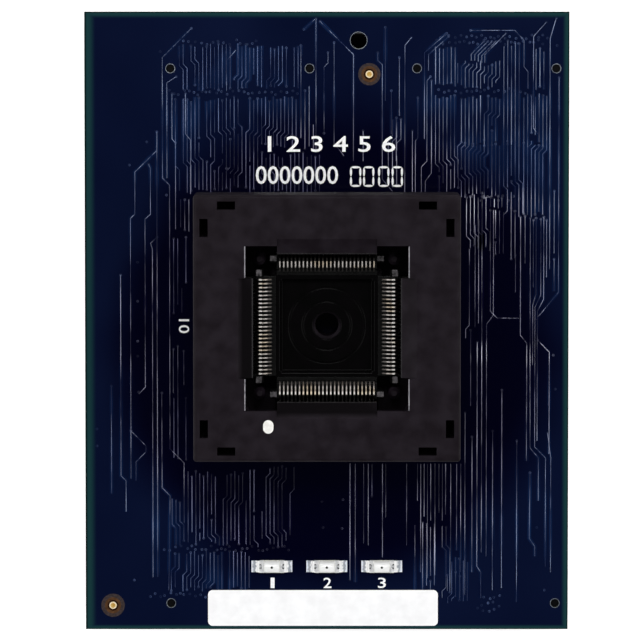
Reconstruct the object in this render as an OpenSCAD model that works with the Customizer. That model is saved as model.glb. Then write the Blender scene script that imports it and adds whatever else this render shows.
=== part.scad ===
// Socket card of a chip programmer: a circuit board that carries an open-top test socket for a
// 100-lead quad flat package, three status lamps, a blank label and four board connectors below.
// Pressing the socket cover swings the four rows of contacts outward, and springs lift it again.
// Millimetres, +Z up. The origin is the middle of the board's outline, on the plane of the
// connector mouths, where the card rests on a table or plugs into its programmer.

/* [Board] */
// Width of the board, along X
board_w = 62.5; // [58:0.5:80]
// Length of the board, along Y
board_l = 80; // [76:0.5:100]
// Thickness of the board
board_t = 1.6; // [1.2:0.1:2.4]
// Diameter of the hole for the programmer's locating pin
locating_d = 2.1; // [1.6:0.1:2.6]
// Distance of the locating hole right of the board's middle
locating_x = 4.1; // [3:0.1:5]
// Distance of the locating hole from the upper edge
locating_inset = 3.7; // [2.5:0.1:4.5]

/* [Label] */
// Width of the label
label_w = 29.8; // [20:0.2:31]
// Height of the label
label_h = 4.66; // [3:0.02:4.8]
// Thickness of the label
label_t = 0.08; // [0.05:0.01:0.2]
// Radius of the label's corners
label_r = 0.6; // [0.2:0.1:1]
// Gap between the label and the lower edge of the board
label_inset = 0.44; // [0.3:0.02:0.7]

/* [Status lamps] */
// Distance between neighbouring lamps
lamp_pitch = 7.12; // [6:0.02:9]
// Distance of the lamp row from the lower edge
lamp_inset = 8.2; // [7:0.1:9]
// Length of a lamp's base between its terminals' outer faces
lamp_l = 3.2; // [2.8:0.1:3.6]
// Width of a lamp's base
lamp_w = 1.6; // [1.2:0.1:2]
// Height of a lamp's base
lamp_base_h = 0.5; // [0.3:0.1:0.8]
// Length of a lamp's lens
lens_l = 2; // [1.6:0.1:2.1]
// Width of a lamp's lens
lens_w = 1.5; // [1.2:0.1:1.6]
// Height of a lens, from the base to its crown
lens_h = 1.1; // [0.9:0.1:1.4]
// Thickness of a plated terminal
plating_t = 0.05; // [0.03:0.01:0.1]
// Length of the solder beyond a lamp terminal
fillet_l = 1.05; // [0.6:0.05:1.3]

/* [Contacts] */
// Contacts along each side of the socket
contacts_per_side = 25; // [17:2:25]
// Distance between neighbouring contacts
contact_pitch = 0.5; // [0.5:0.01:0.52]
// Thickness of a contact
contact_t = 0.2; // [0.18:0.01:0.26]
// Side clearance between a contact arm and the ribs beside it
rib_gap = 0.05; // [0.03:0.01:0.08]
// Distance of the contact tips from the socket's middle
tip_r = 7; // [6.9:0.05:7.1]
// Distance of the arm's knuckle from the socket's middle
pivot_r = 8.6; // [8.5:0.05:8.8]
// Height of the arm's knuckle above the board
pivot_z = 4.4; // [4.3:0.05:4.6]
// Radius of the arm's knuckle
knuckle_r = 0.5; // [0.4:0.02:0.55]
// Clearance round the knuckle in its cradle
knuckle_gap = 0.1; // [0.08:0.01:0.14]
// Width of the arm's upright
upright_w = 0.7; // [0.6:0.05:0.8]
// Height of the arm's shoulder above the knuckle
shoulder_rise = 5.1; // [4.8:0.1:5.2]
// Reach of the lever from the knuckle to its pad
lever_reach = 6.5; // [6.2:0.05:6.7]
// Radius of the pad at the lever's end
pad_r = 0.3; // [0.27:0.01:0.35]
// Distance of the first row of tails from the socket's middle
tail_r = 9; // [8.9:0.1:9.2]
// Distance between rows of tails
tail_row_pitch = 1.5; // [1.4:0.05:1.55]
// Width of a tail
tail_w = 0.4; // [0.3:0.05:0.45]
// Diameter of the plated board hole for a tail
tail_hole_d = 0.7; // [0.65:0.05:0.9]
// Length of a tail below the board
tail_below = 1.2; // [0.8:0.1:1.6]
// Distance of a tail's inner face from the knuckle's axis
cradle_in = 0.9; // [0.8:0.02:0.95]
// Clearance between the tails and the pedestal
tail_gap = 0.1; // [0.06:0.02:0.2]

/* [Socket base] */
// Side of the base
base_side = 33.4; // [33:0.1:33.8]
// Height of the base's floor
floor_h = 2.4; // [2.2:0.1:2.5]
// Thickness of the floor under the contact carriers
carrier_seat = 0.8; // [0.6:0.1:0.9]
// Height of the base's rim
rim_h = 3.5; // [3.3:0.1:3.6]
// Side of the middle pedestal
pedestal_side = 14; // [14:0.1:14.2]
// Height of the pedestal
pedestal_h = 5.2; // [5:0.1:5.4]
// Clearance of a carrier in its pocket
carrier_gap = 0.05; // [0.03:0.01:0.08]
// Distance of each spring from the socket's middle, along X and Y
spring_at = 12; // [11.9:0.05:12.1]
// Diameter of a peg that locates the base on the board
base_peg_d = 1.5; // [1.2:0.1:1.8]
// Diameter of the pillar in each corner of the contact field
pillar_d = 1.6; // [1.2:0.1:1.7]
// Distance of each pillar from the socket's middle, along X and Y
pillar_at = 8.6; // [8.5:0.05:8.8]

/* [Nest] */
// Side of the nest plate
nest_side = 13.1; // [12.9:0.1:13.2]
// Height of the ledge that the chip rests on, above the board
ledge_z = 7.9; // [7.7:0.1:8]
// Side of the sunk floor
sunk_side = 11.5; // [11:0.1:11.9]
// Depth of the sunk floor below the ledge
sunk_depth = 1; // [0.6:0.1:1.3]
// Diameter of the hole in the middle of the nest
nest_hole_d = 3.7; // [3:0.1:4.5]

/* [Cover] */
// Side of the cover
cover_side = 34; // [33.9:0.1:34.6]
// Height of the cover, from the skirt's edge to the top
cover_h = 7.5; // [7.4:0.1:8.5]
// Thickness of the cover's top
cover_t = 1.7; // [1.5:0.1:1.8]
// Thickness of the cover's skirt
skirt_t = 1.1; // [1:0.02:1.14]
// Travel of the cover
travel = 1.8; // [1.5:0.1:1.9]
// Gap left between skirt and rim when the cover is down
stop_gap = 0.2; // [0.15:0.05:0.4]
// Gap between the cover's pushing edge and the lever pads
push_gap = 0.1; // [0.06:0.02:0.14]
// Radius of the cover's outer edges
cover_edge_r = 0.5; // [0.3:0.1:0.8]
// Side of the square opening between the corner pockets
opening_side = 18.8; // [18.6:0.1:19.2]
// Distance across the opening from pocket to pocket
pocket_span = 21; // [20.4:0.1:21.2]
// Side of a corner pocket
pocket_side = 4.15; // [3.8:0.05:4.2]
// Width of the sloped lead-in along each side
slope_w = 2; // [1.5:0.1:2.4]
// Depth of the sloped lead-in
slope_h = 1.1; // [0.8:0.1:1.3]
// Distance of a hook window from the middle, along its side
window_at = 12.8; // [12.6:0.1:12.9]
// Length of a hook window
window_l = 2.3; // [2:0.1:2.4]
// Width of a hook window
window_w = 1.05; // [0.95:0.05:1.1]
// Inset of a hook window from the cover's edge
window_inset = 0.83; // [0.75:0.02:0.89]
// Sliding clearance between the cover and the base's corner posts
slide_gap = 0.15; // [0.1:0.05:0.2]

/* [Springs] */
// Outer diameter of a spring
spring_d = 3; // [2.8:0.1:3.1]
// Thickness of the spring wire
spring_wire = 0.4; // [0.3:0.05:0.45]
// Turns between the closed ends
spring_turns = 6; // [4:1:7]
// Clearance of a spring in its seat
spring_gap = 0.15; // [0.1:0.05:0.2]

/* [Board connectors] */
// Height of a connector below the board
connector_h = 5; // [4.4:0.1:6]
// Length of a connector
connector_l = 20.6; // [20.4:0.1:20.8]
// Width of a connector
connector_w = 5; // [4.8:0.1:5.2]
// Distance between a connector's two pegs
peg_pitch = 17.95; // [17.8:0.05:18.1]
// Diameter of a peg
peg_d = 0.95; // [0.8:0.05:1]
// Clearance of a peg in its board hole, on the diameter
peg_gap = 0.1; // [0.05:0.05:0.2]
// Distance between the left and right connectors
connector_pitch = 31.8; // [31:0.1:32]
// Distance of the right connectors' middle from the board's right edge
connector_side_inset = 10.65; // [10.5:0.05:12]
// Distance of the upper connectors' middle from the upper edge
connector_top_inset = 7.3; // [6:0.1:8]
// Distance of the lower connectors' middle from the lower edge
connector_low_inset = 3.4; // [3.3:0.1:5]
// Terminals along each side of a connector
terminals_per_row = 25; // [11:2:25]
// Distance between neighbouring terminals
terminal_pitch = 0.635; // [0.5:0.005:0.64]
// Thickness of a connector's outer wall
connector_wall = 0.9; // [0.8:0.05:1]

/* [Small parts below the board] */
// Length of a chip resistor or capacitor
passive_l = 1.6; // [1.4:0.1:2]
// Width of a chip resistor or capacitor
passive_w = 0.8; // [0.6:0.1:1.2]
// Height of a chip capacitor
capacitor_h = 0.8; // [0.5:0.1:1]
// Height of a chip resistor
resistor_h = 0.45; // [0.3:0.05:0.6]
// Length of the memory chip's body
memory_l = 4.9; // [4.8:0.1:5.2]
// Width of the memory chip's body
memory_w = 3.9; // [3.6:0.1:4.2]
// Height of the memory chip's body
memory_h = 1.4; // [1:0.1:1.6]
// Distance of the memory chip right of the board's middle
memory_x = 0.8; // [0:0.1:2]
// Distance of the memory chip from the lamp row
memory_rise = 6.6; // [6.4:0.1:7]
// Distance of the lamps' resistors from the lamp row
resistor_rise = 2.2; // [2:0.1:2.3]
// Distance of the chip capacitors from the socket's middle, along X
capacitor_x = 3.4; // [3:0.1:4]
// Distance between neighbouring chip capacitors, along Y
capacitor_pitch = 4.5; // [4:0.1:5]

/* [Hidden] */
$fn = 48;
cut = 1;
board_top = connector_h + board_t;
east = 0;
north = 90;
west = 180;
south = 270;
row_half = (contacts_per_side - 1) / 2 * contact_pitch;
rib_t = contact_pitch - contact_t - 2 * rib_gap;
field_half = row_half + contact_t / 2 + rib_gap;
open_angle = 2 * asin(travel / 2 / lever_reach);
pad_at = pivot_r + lever_reach * cos(open_angle / 2);
cover_bottom = rim_h + travel + stop_gap;
cover_top = cover_bottom + cover_h;
cover_under = cover_top - cover_t;
cavity_half = cover_side / 2 - skirt_t;
push_edge = pivot_z + travel / 2 + pad_r + push_gap;
tail_rows = 4;
tail_end_r = tail_r + (tail_rows - 1) * tail_row_pitch;
carrier_in = pivot_r - 1.25;
carrier_out = tail_end_r + 0.8;
carrier_half = min(field_half + 0.5, carrier_in - tail_gap);
tail_in = pivot_r - cradle_in;
spine_out = min(pedestal_side / 2, tail_in - tail_gap);
post_half_l = window_l / 2 - 0.05;
window_out = cover_side / 2 - window_inset;
window_in = window_out - window_w;
toe_top = cover_bottom + 1.1;
spring_seat = 1.4;
spring_bore_d = spring_d + 2 * spring_gap;
spring_low = spring_seat;
spring_high = cover_under;
connector_x = [board_w / 2 - connector_side_inset - connector_pitch, board_w / 2 - connector_side_inset];
connector_y = [connector_low_inset - board_l / 2, board_l / 2 - connector_top_inset];
locating_y = board_l / 2 - locating_inset;
lamp_y = lamp_inset - board_l / 2;
memory_at = [memory_x, lamp_y + memory_rise];
black_plastic = "#1f1d1d";
black_insert = "#171616";
gold = "#d9b45a";
tin = "#c9cacb";
steel = "#a9adb2";

// Shared shapes

// A block between two corner points
module block(low, high) {
    translate(low) cube(high - low);
}

// A rectangle with round corners, centred
module round_rect(w, h, r) {
    square([w - 2 * r, h], center = true);
    square([w, h - 2 * r], center = true);
    for (x = [-1, 1], y = [-1, 1])
        translate([x * (w / 2 - r), y * (h / 2 - r)]) circle(r);
}

// The socket's own frame: its middle on the board's top face
module at_socket() {
    translate([0, 0, board_top]) children();
}

// One side of the socket: X runs outward from the middle, Y along the row of contacts
module on_side(side) {
    at_socket() rotate([0, 0, side]) children();
}

// A flat profile of outward distance and height, thickened along the row about the place y
module profile(y, thickness) {
    translate([0, y + thickness / 2, 0]) rotate([90, 0, 0]) linear_extrude(thickness) children();
}

// Places of the contacts along a row
function contact_y(i) = (i - (contacts_per_side - 1) / 2) * contact_pitch;
// Row of tails, counted outward, that contact i uses
function tail_at(i) = tail_r + (i % tail_rows) * tail_row_pitch;

// Copies on the four corners of a square
module on_corners(at) {
    for (x = [-1, 1], y = [-1, 1]) translate([x * at, y * at, 0]) children();
}

// Copies at the eight hook places: X outward, Y along the side, with the hook centred on Y
module on_hooks() {
    for (side = [east, north, west, south], y = [-1, 1])
        rotate([0, 0, side]) translate([0, y * window_at, 0]) children();
}

// Board and label

module circuit_board() {
    color("#0a1030") difference() {
        translate([-board_w / 2, -board_l / 2, connector_h]) cube([board_w, board_l, board_t]);
        translate([locating_x, locating_y, connector_h - cut])
            cylinder(d = locating_d, h = board_t + 2 * cut);
        for (x = connector_x, y = connector_y, end = [-1, 1])
            translate([x + end * peg_pitch / 2, y, connector_h - cut])
                cylinder(d = peg_d + peg_gap, h = board_t + 2 * cut);
        for (side = [east, north, west, south])
            on_side(side)
                for (i = [0 : contacts_per_side - 1])
                    translate([tail_at(i), contact_y(i), -board_t - cut])
                        cylinder(d = tail_hole_d, h = board_t + 2 * cut);
        for (end = [-1, 1])
            at_socket() translate([end * 10, -end * 10, -board_t - cut])
                cylinder(d = base_peg_d + peg_gap, h = board_t + 2 * cut);
    }
}

module blank_label() {
    color("white") translate([-0.5, label_inset + label_h / 2 - board_l / 2, board_top])
        linear_extrude(label_t) round_rect(label_w, label_h, label_r);
}

// Socket base and nest

// Fixed catch of a hook: an upright post with a lip that points outward over the cover's toe
module hook_post() {
    profile(0, 2 * post_half_l) polygon([
        [window_in - 1.1, 0],
        [window_in - 0.12, 0],
        [window_in - 0.12, toe_top + 0.08],
        [window_out - 0.25, toe_top + 0.08],
        [window_out - 0.25, toe_top + 0.7],
        [window_in - 0.12, toe_top + 1.4],
        [window_in - 1.1, toe_top + 1.4]
    ]);
}

module socket_base() {
    color(black_plastic) at_socket() difference() {
        union() {
            translate([-base_side / 2, -base_side / 2, 0]) cube([base_side, base_side, floor_h]);
            difference() {
                translate([-base_side / 2, -base_side / 2, 0]) cube([base_side, base_side, rim_h]);
                block([-cavity_half, -cavity_half, floor_h], [cavity_half, cavity_half, rim_h + cut]);
            }
            translate([-pedestal_side / 2, -pedestal_side / 2, 0])
                cube([pedestal_side, pedestal_side, pedestal_h]);
            on_corners(spring_at) cylinder(d = spring_bore_d + 1.3, h = floor_h + 2.6);
            on_corners(cavity_half - slide_gap - 0.55)
                translate([-0.55, -0.55, 0]) cube([1.1, 1.1, cover_bottom + 3.5]);
            on_corners(pillar_at) {
                cylinder(d = pillar_d, h = ledge_z);
                translate([0, 0, ledge_z]) cylinder(d1 = pillar_d, d2 = pillar_d - 0.9, h = 0.6);
            }
            on_hooks() hook_post();
            for (end = [-1, 1])
                translate([end * 10, -end * 10, -board_t + 0.2])
                    cylinder(d = base_peg_d, h = board_t);
        }
        for (side = [east, north, west, south]) rotate([0, 0, side]) {
            block([carrier_in, -carrier_half, carrier_seat], [carrier_out, carrier_half, floor_h + cut]);
            for (row = [0 : tail_rows - 1])
                block([tail_r + row * tail_row_pitch - 0.35, -field_half, -cut],
                      [tail_r + row * tail_row_pitch + 0.35, field_half, carrier_seat + cut]);
            block([tail_in - tail_gap, -carrier_half, carrier_seat],
                  [pivot_r, carrier_half, pedestal_h + cut]);
        }
        on_corners(spring_at) translate([0, 0, spring_seat])
            cylinder(d = spring_bore_d, h = floor_h + 2.6);
        translate([0, 0, -cut]) cylinder(d = nest_hole_d - 0.7, h = pedestal_h + 2 * cut);
    }
}

module nest_plate() {
    sunk_z = ledge_z - sunk_depth;
    bevel = 0.3;
    color(black_insert) at_socket() difference() {
        block([-nest_side / 2, -nest_side / 2, pedestal_h], [nest_side / 2, nest_side / 2, ledge_z]);
        block([-sunk_side / 2, -sunk_side / 2, sunk_z], [sunk_side / 2, sunk_side / 2, ledge_z + cut]);
        for (side = [east, north, west, south])
            rotate([0, 0, side]) profile(0, sunk_side) polygon([
                [sunk_side / 2 - 0.1, ledge_z + cut],
                [sunk_side / 2 + bevel + cut, ledge_z + cut],
                [sunk_side / 2 - 0.1, ledge_z - bevel - 0.1]
            ]);
        translate([0, 0, pedestal_h - cut]) cylinder(d = nest_hole_d, h = ledge_z);
        for (d = [6.2, 9.7]) translate([0, 0, sunk_z - 0.15]) difference() {
            cylinder(d = d + 0.25, h = cut);
            translate([0, 0, -cut]) cylinder(d = d - 0.25, h = 3 * cut);
        }
    }
}

// Contacts and the strips that hold them

// Strip with one slot for each contact's tail
module contact_carrier(side) {
    color(black_insert) on_side(side) difference() {
        block([carrier_in + carrier_gap, carrier_gap - carrier_half, carrier_seat],
              [carrier_out - carrier_gap, carrier_half - carrier_gap, floor_h]);
        for (i = [0 : contacts_per_side - 1])
            block([tail_in - 0.05, contact_y(i) - contact_t / 2 - 0.01, 0],
                  [tail_end_r + 0.4, contact_y(i) + contact_t / 2 + 0.01, floor_h + cut]);
    }
}

// Side view of a comb's rib: it rises above the ledge only outside the chip's body
module rib_profile(from, to) {
    polygon([
        [from - 0.1, ledge_z - 1.6],
        [to, ledge_z - 1.6],
        [to, ledge_z + 0.4],
        [from + 0.3, ledge_z + 0.4],
        [from + 0.15, ledge_z],
        [from - 0.1, ledge_z]
    ]);
}

// Strip of thin ribs that keeps the contacts and the chip's leads apart, with a post at each end
module lead_comb(side) {
    spine_in = nest_side / 2;
    rib_out = pivot_r - 0.45;
    end_t = 0.25;
    post_t = 0.85;
    color(black_insert) on_side(side) {
        block([spine_in, -field_half - end_t, pedestal_h], [spine_out, field_half + end_t, ledge_z]);
        for (i = [0 : contacts_per_side - 2])
            profile(contact_y(i) + contact_pitch / 2, rib_t) rib_profile(spine_out, rib_out);
        for (end = [0, 1]) mirror([0, end, 0]) {
            translate([0, field_half + end_t / 2, 0]) profile(0, end_t)
                rib_profile(spine_out, rib_out + 1.15);
            translate([0, field_half + end_t + post_t / 2, 0]) profile(0, post_t) polygon([
                [rib_out - 0.05, ledge_z - 1.6],
                [rib_out + 1.15, ledge_z - 1.6],
                [rib_out + 1.15, ledge_z + 0.7],
                [rib_out + 0.85, ledge_z + 1],
                [rib_out + 0.25, ledge_z + 1],
                [rib_out - 0.05, ledge_z + 0.7]
            ]);
        }
    }
}

// Fixed part of a contact: the cradle under the knuckle, the foot in the strip and the board tail
module tail_profile(at) {
    difference() {
        union() {
            translate([tail_in, carrier_seat + 0.5])
                square([cradle_in + 0.35, pivot_z - carrier_seat - 1.05]);
            translate([tail_in, pivot_z - 1]) square([cradle_in - 0.3, 1.2]);
        }
        translate([pivot_r, pivot_z]) circle(knuckle_r + knuckle_gap);
    }
    translate([tail_in, carrier_seat + 0.5]) square([at + tail_w / 2 - tail_in, 0.7]);
    translate([at - tail_w / 2, -board_t - tail_below])
        square([tail_w, board_t + tail_below + carrier_seat + 0.6]);
}

module contact_tails(side) {
    color(gold) on_side(side)
        for (i = [0 : contacts_per_side - 1]) profile(contact_y(i), contact_t) tail_profile(tail_at(i));
}

// Moving part of a contact: the round knuckle, the upright with its beak, and the lever
module arm_profile() {
    inner = pivot_r - upright_w / 2 + 0.1;
    outer = inner + upright_w;
    crown = pivot_z + shoulder_rise;
    translate([pivot_r, pivot_z]) circle(knuckle_r);
    polygon([
        [outer, pivot_z],
        [outer, crown - 0.3],
        [outer - 0.25, crown],
        [inner - 0.25, crown],
        [tip_r, crown - 0.75],
        [tip_r, crown - 1.1],
        [tip_r + 0.3, crown - 1.3],
        [inner, crown - 0.75],
        [inner, pivot_z]
    ]);
    translate([pivot_r, pivot_z]) rotate(open_angle / 2) {
        polygon([
            [0, -0.42],
            [lever_reach, 0.04 - pad_r],
            [lever_reach, pad_r - 0.04],
            [0, 0.42]
        ]);
        translate([lever_reach, 0]) circle(pad_r);
    }
}

module contact_arms(side) {
    color(gold) on_side(side)
        for (i = [0 : contacts_per_side - 1]) profile(contact_y(i), contact_t) arm_profile();
}

module socket_solder_joints() {
    color(tin) for (side = [east, north, west, south])
        on_side(side)
            for (i = [0 : contacts_per_side - 1])
                translate([tail_at(i), contact_y(i), -board_t]) difference() {
                    translate([0, 0, -0.7]) cylinder(r1 = 0.27, r2 = 0.48, h = 0.7);
                    cube([tail_w, contact_t, 3], center = true);
                }
}

// Cover and springs

// Outer form of the cover: a block whose top edges and upright edges are round
module cover_block() {
    r = cover_edge_r;
    intersection() {
        translate([0, 0, cover_bottom]) linear_extrude(cover_h) round_rect(cover_side, cover_side, r);
        cover_arch(0);
        cover_arch(90);
    }
}

// Side view of the cover with round upper edges, drawn through its whole width
module cover_arch(turn) {
    rotate([0, 0, turn]) profile(0, cover_side + 2 * cut)
        translate([0, cover_top - cover_h]) round_rect(cover_side, 2 * cover_h, cover_edge_r);
}

// Toe on the skirt's inside that catches under a hook post's lip
module hook_toe() {
    profile(0, window_l) polygon([
        [window_in, cover_bottom + 0.5],
        [window_in + 0.5, cover_bottom],
        [cover_side / 2 - 0.3, cover_bottom],
        [cover_side / 2 - 0.3, toe_top],
        [window_in, toe_top]
    ]);
}

module socket_cover() {
    open = opening_side / 2;
    pocket = pocket_span / 2 - pocket_side / 2;
    dot_depth = 0.1;
    color(black_plastic) at_socket() {
        difference() {
            union() {
                difference() {
                    cover_block();
                    block([-cavity_half, -cavity_half, cover_bottom - cut],
                          [cavity_half, cavity_half, cover_under]);
                }
                for (side = [east, north, west, south]) rotate([0, 0, side])
                    block([pad_at - 0.3, -field_half - 0.4, push_edge],
                          [cavity_half + 0.1, field_half + 0.4, cover_under + 0.1]);
                on_corners(spring_at) translate([0, 0, cover_under - 2.8])
                    cylinder(d = spring_d - 2 * spring_wire - 0.4, h = 2.9);
            }
            block([-open, -open, cover_bottom], [open, open, cover_top + cut]);
            on_corners(pocket) translate([-pocket_side / 2, -pocket_side / 2, cover_bottom])
                cube([pocket_side, pocket_side, cover_h + cut]);
            for (side = [east, north, west, south])
                rotate([0, 0, side]) profile(0, 2 * (pocket - pocket_side / 2)) polygon([
                    [open - cut, cover_top + cut],
                    [open + slope_w, cover_top + cut],
                    [open + slope_w, cover_top],
                    [open, cover_top - slope_h],
                    [open - cut, cover_top - slope_h]
                ]);
            on_hooks()
                block([window_in, -window_l / 2, toe_top], [window_out, window_l / 2, cover_top + cut]);
            translate([-7.45, -12.5, cover_top - dot_depth]) linear_extrude(cut) dot_outline();
        }
        on_hooks() hook_toe();
    }
}

module dot_outline() {
    for (y = [-0.2, 0.2]) translate([0, y]) circle(0.66);
    square([1.32, 0.4], center = true);
}

module pin_one_dot() {
    color("white") at_socket() translate([-7.45, -12.5, cover_top - 0.1])
        linear_extrude(0.12) dot_outline();
}

// Centre line of a spring: closed turns at both ends and open turns between them
function spring_point(turn, turns, r, low, high, wire) =
    let (rise = (high - low - wire) - 2 * wire * 0.9)
    let (z = turn < 1 ? turn * wire * 0.9
           : turn > turns - 1 ? (high - low - wire) - (turns - turn) * wire * 0.9
           : wire * 0.9 + rise * (turn - 1) / (turns - 2))
    [r * cos(360 * turn), r * sin(360 * turn), low + wire / 2 + z];

// A wire of round section wound along the spring's centre line
module coil_spring(d, wire, turns, low, high) {
    r = (d - wire) / 2;
    per_turn = 12;
    sides = 6;
    steps = turns * per_turn;
    points = [
        for (k = [0 : steps], s = [0 : sides - 1])
            let (turn = k / per_turn)
            let (centre = spring_point(turn, turns, r, low, high, wire))
            let (out = wire / 2 * cos(360 * s / sides))
            let (up = wire / 2 * sin(360 * s / sides))
            centre + [out * cos(360 * turn), out * sin(360 * turn), up]
    ];
    walls = [
        for (k = [0 : steps - 1], s = [0 : sides - 1])
            let (next = (s + 1) % sides)
            [k * sides + s, k * sides + next, (k + 1) * sides + next, (k + 1) * sides + s]
    ];
    first = [for (s = [sides - 1 : -1 : 0]) s];
    last = [for (s = [0 : sides - 1]) steps * sides + s];
    polyhedron(points, concat(walls, [first, last]));
}

module cover_springs() {
    color(steel) at_socket() on_corners(spring_at)
        coil_spring(spring_d, spring_wire, spring_turns + 2, spring_low, spring_high);
}

// Board connectors, mouth down

module at_connector(column, row) {
    translate([connector_x[column], connector_y[row], 0]) children();
}

module connector_housing(column, row) {
    shelf = connector_h - 0.4;
    roof = shelf - 0.8;
    mouth_w = connector_w - 2 * connector_wall;
    row_l = (terminals_per_row - 1) * terminal_pitch + 0.9;
    color(black_plastic) at_connector(column, row) {
        difference() {
            block([-connector_l / 2, -connector_w / 2, 0], [connector_l / 2, connector_w / 2, connector_h]);
            block([connector_wall - connector_l / 2, -mouth_w / 2, -cut],
                  [connector_l / 2 - connector_wall, mouth_w / 2, roof]);
            block([-row_l / 2, -connector_w, shelf], [row_l / 2, connector_w, connector_h + cut]);
            for (wall = [-1, 1]) translate([0, wall * (mouth_w / 2 - 0.2), 0])
                block([-row_l / 2, -0.2, roof - cut], [row_l / 2, 0.2, shelf + cut]);
        }
        for (end = [-1, 1]) translate([end * peg_pitch / 2, 0, connector_h - 0.1])
            cylinder(d = peg_d, h = board_t - 0.1);
    }
}

module connector_terminals(column, row) {
    strip_t = 0.2;
    strip_w = 0.3;
    inside = connector_w / 2 - connector_wall - 0.05;
    color(gold) at_connector(column, row)
        for (wall = [0, 180], i = [0 : terminals_per_row - 1])
            rotate([0, 0, wall + 90])
                profile((i - (terminals_per_row - 1) / 2) * terminal_pitch, strip_w) polygon([
                    [inside - strip_t, 0.7],
                    [inside, 0.7],
                    [inside, connector_h - strip_t],
                    [connector_w / 2 + 0.6, connector_h - strip_t],
                    [connector_w / 2 + 0.6, connector_h],
                    [inside - strip_t, connector_h]
                ]);
}

module connector_blade(column, row) {
    blade_l = (terminals_per_row - 1) * terminal_pitch + 0.6;
    color(gold) at_connector(column, row)
        block([-blade_l / 2, -connector_w * 0.04, connector_h * 0.18],
              [blade_l / 2, connector_w * 0.04, connector_h * 0.76]);
}

// Status lamps

module at_lamp(place) {
    translate([place * lamp_pitch, lamp_y, board_top]) children();
}

// Quarter-round notches in both ends of a lamp's base, where the plating runs down
module end_notches(r) {
    for (end = [-1, 1]) translate([end * lamp_l / 2, 0, -cut]) cylinder(r = r, h = 3 * cut);
}

module lamp_base(place) {
    color("#e8e4d4") at_lamp(place) difference() {
        block([plating_t - lamp_l / 2, -lamp_w / 2, plating_t],
              [lamp_l / 2 - plating_t, lamp_w / 2, lamp_base_h]);
        end_notches(0.35 + plating_t);
    }
}

module lamp_terminals(place) {
    pad = 0.55;
    color(tin) at_lamp(place) difference() {
        for (end = [0, 180]) rotate([0, 0, end])
            block([lamp_l / 2 - pad, -lamp_w / 2, 0],
                  [lamp_l / 2, lamp_w / 2, lamp_base_h + plating_t]);
        difference() {
            block([plating_t - lamp_l / 2, -lamp_w, plating_t],
                  [lamp_l / 2 - plating_t, lamp_w, lamp_base_h]);
            end_notches(0.35 + plating_t);
        }
        end_notches(0.35);
    }
}

module lamp_lens(place) {
    straight = lens_h - lens_w / 2;
    color("#eef0ea") at_lamp(place) translate([0, 0, lamp_base_h])
        translate([-lens_l / 2, 0, 0]) rotate([90, 0, 90]) linear_extrude(lens_l) {
            translate([-lens_w / 2, 0]) square([lens_w, straight]);
            intersection() {
                translate([0, straight]) circle(lens_w / 2);
                translate([-lens_w / 2, straight]) square([lens_w, lens_w]);
            }
        }
}

// Hollow-faced fillets of solder between the lamp terminals and their pads
module lamp_solder_joints() {
    h = lamp_base_h;
    color(tin) for (place = [-1, 0, 1], end = [0, 180])
        at_lamp(place) rotate([0, 0, end]) profile(0, lamp_w - 0.1) difference() {
            translate([lamp_l / 2, 0]) square([fillet_l, h]);
            translate([lamp_l / 2 + fillet_l, fillet_l + 0.06]) circle(fillet_l);
        }
}

// Small parts below the board

// Copies at the chip capacitors, hung under the board
module at_capacitors() {
    for (x = [-1, 1], y = [-1, 0, 1])
        translate([x * capacitor_x, y * capacitor_pitch, connector_h]) children();
}

// Copies at the lamps' series resistors, hung under the board
module at_resistors() {
    for (place = [-1, 0, 1])
        translate([place * lamp_pitch, lamp_y + resistor_rise, connector_h]) rotate([0, 0, 90]) children();
}

module passive_body(h) {
    end = passive_l * 0.22;
    block([end - passive_l / 2, -passive_w / 2, -h], [passive_l / 2 - end, passive_w / 2, 0]);
}

module passive_ends(h) {
    end = passive_l * 0.22;
    for (turn = [0, 180]) rotate([0, 0, turn])
        block([passive_l / 2 - end, -passive_w / 2, -h], [passive_l / 2, passive_w / 2, 0]);
}

module capacitor_bodies() {
    color("#a98a62") at_capacitors() passive_body(capacitor_h);
}

module capacitor_ends() {
    color(tin) at_capacitors() passive_ends(capacitor_h);
}

module resistor_bodies() {
    color("#1c1c20") at_resistors() passive_body(resistor_h);
}

module resistor_ends() {
    color(tin) at_resistors() passive_ends(resistor_h);
}

module memory_chip_body() {
    color("#1a1a1b") translate([memory_at.x, memory_at.y, connector_h])
        block([-memory_l / 2, -memory_w / 2, -memory_h - 0.1], [memory_l / 2, memory_w / 2, -0.1]);
}

module memory_chip_leads() {
    middle = -0.1 - memory_h / 2;
    lead_t = 0.2;
    color(tin) translate([memory_at.x, memory_at.y, connector_h])
        for (side = [0, 180], i = [-1.5 : 1 : 1.5])
            rotate([0, 0, side + 90]) profile(i * 1.27, 0.4) polygon([
                [memory_w / 2, middle - lead_t / 2],
                [memory_w / 2 + 0.5, middle - lead_t / 2],
                [memory_w / 2 + 0.5, -lead_t],
                [memory_w / 2 + 1, -lead_t],
                [memory_w / 2 + 1, 0],
                [memory_w / 2 + 0.3, 0],
                [memory_w / 2 + 0.3, middle + lead_t / 2],
                [memory_w / 2, middle + lead_t / 2]
            ]);
}

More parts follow.
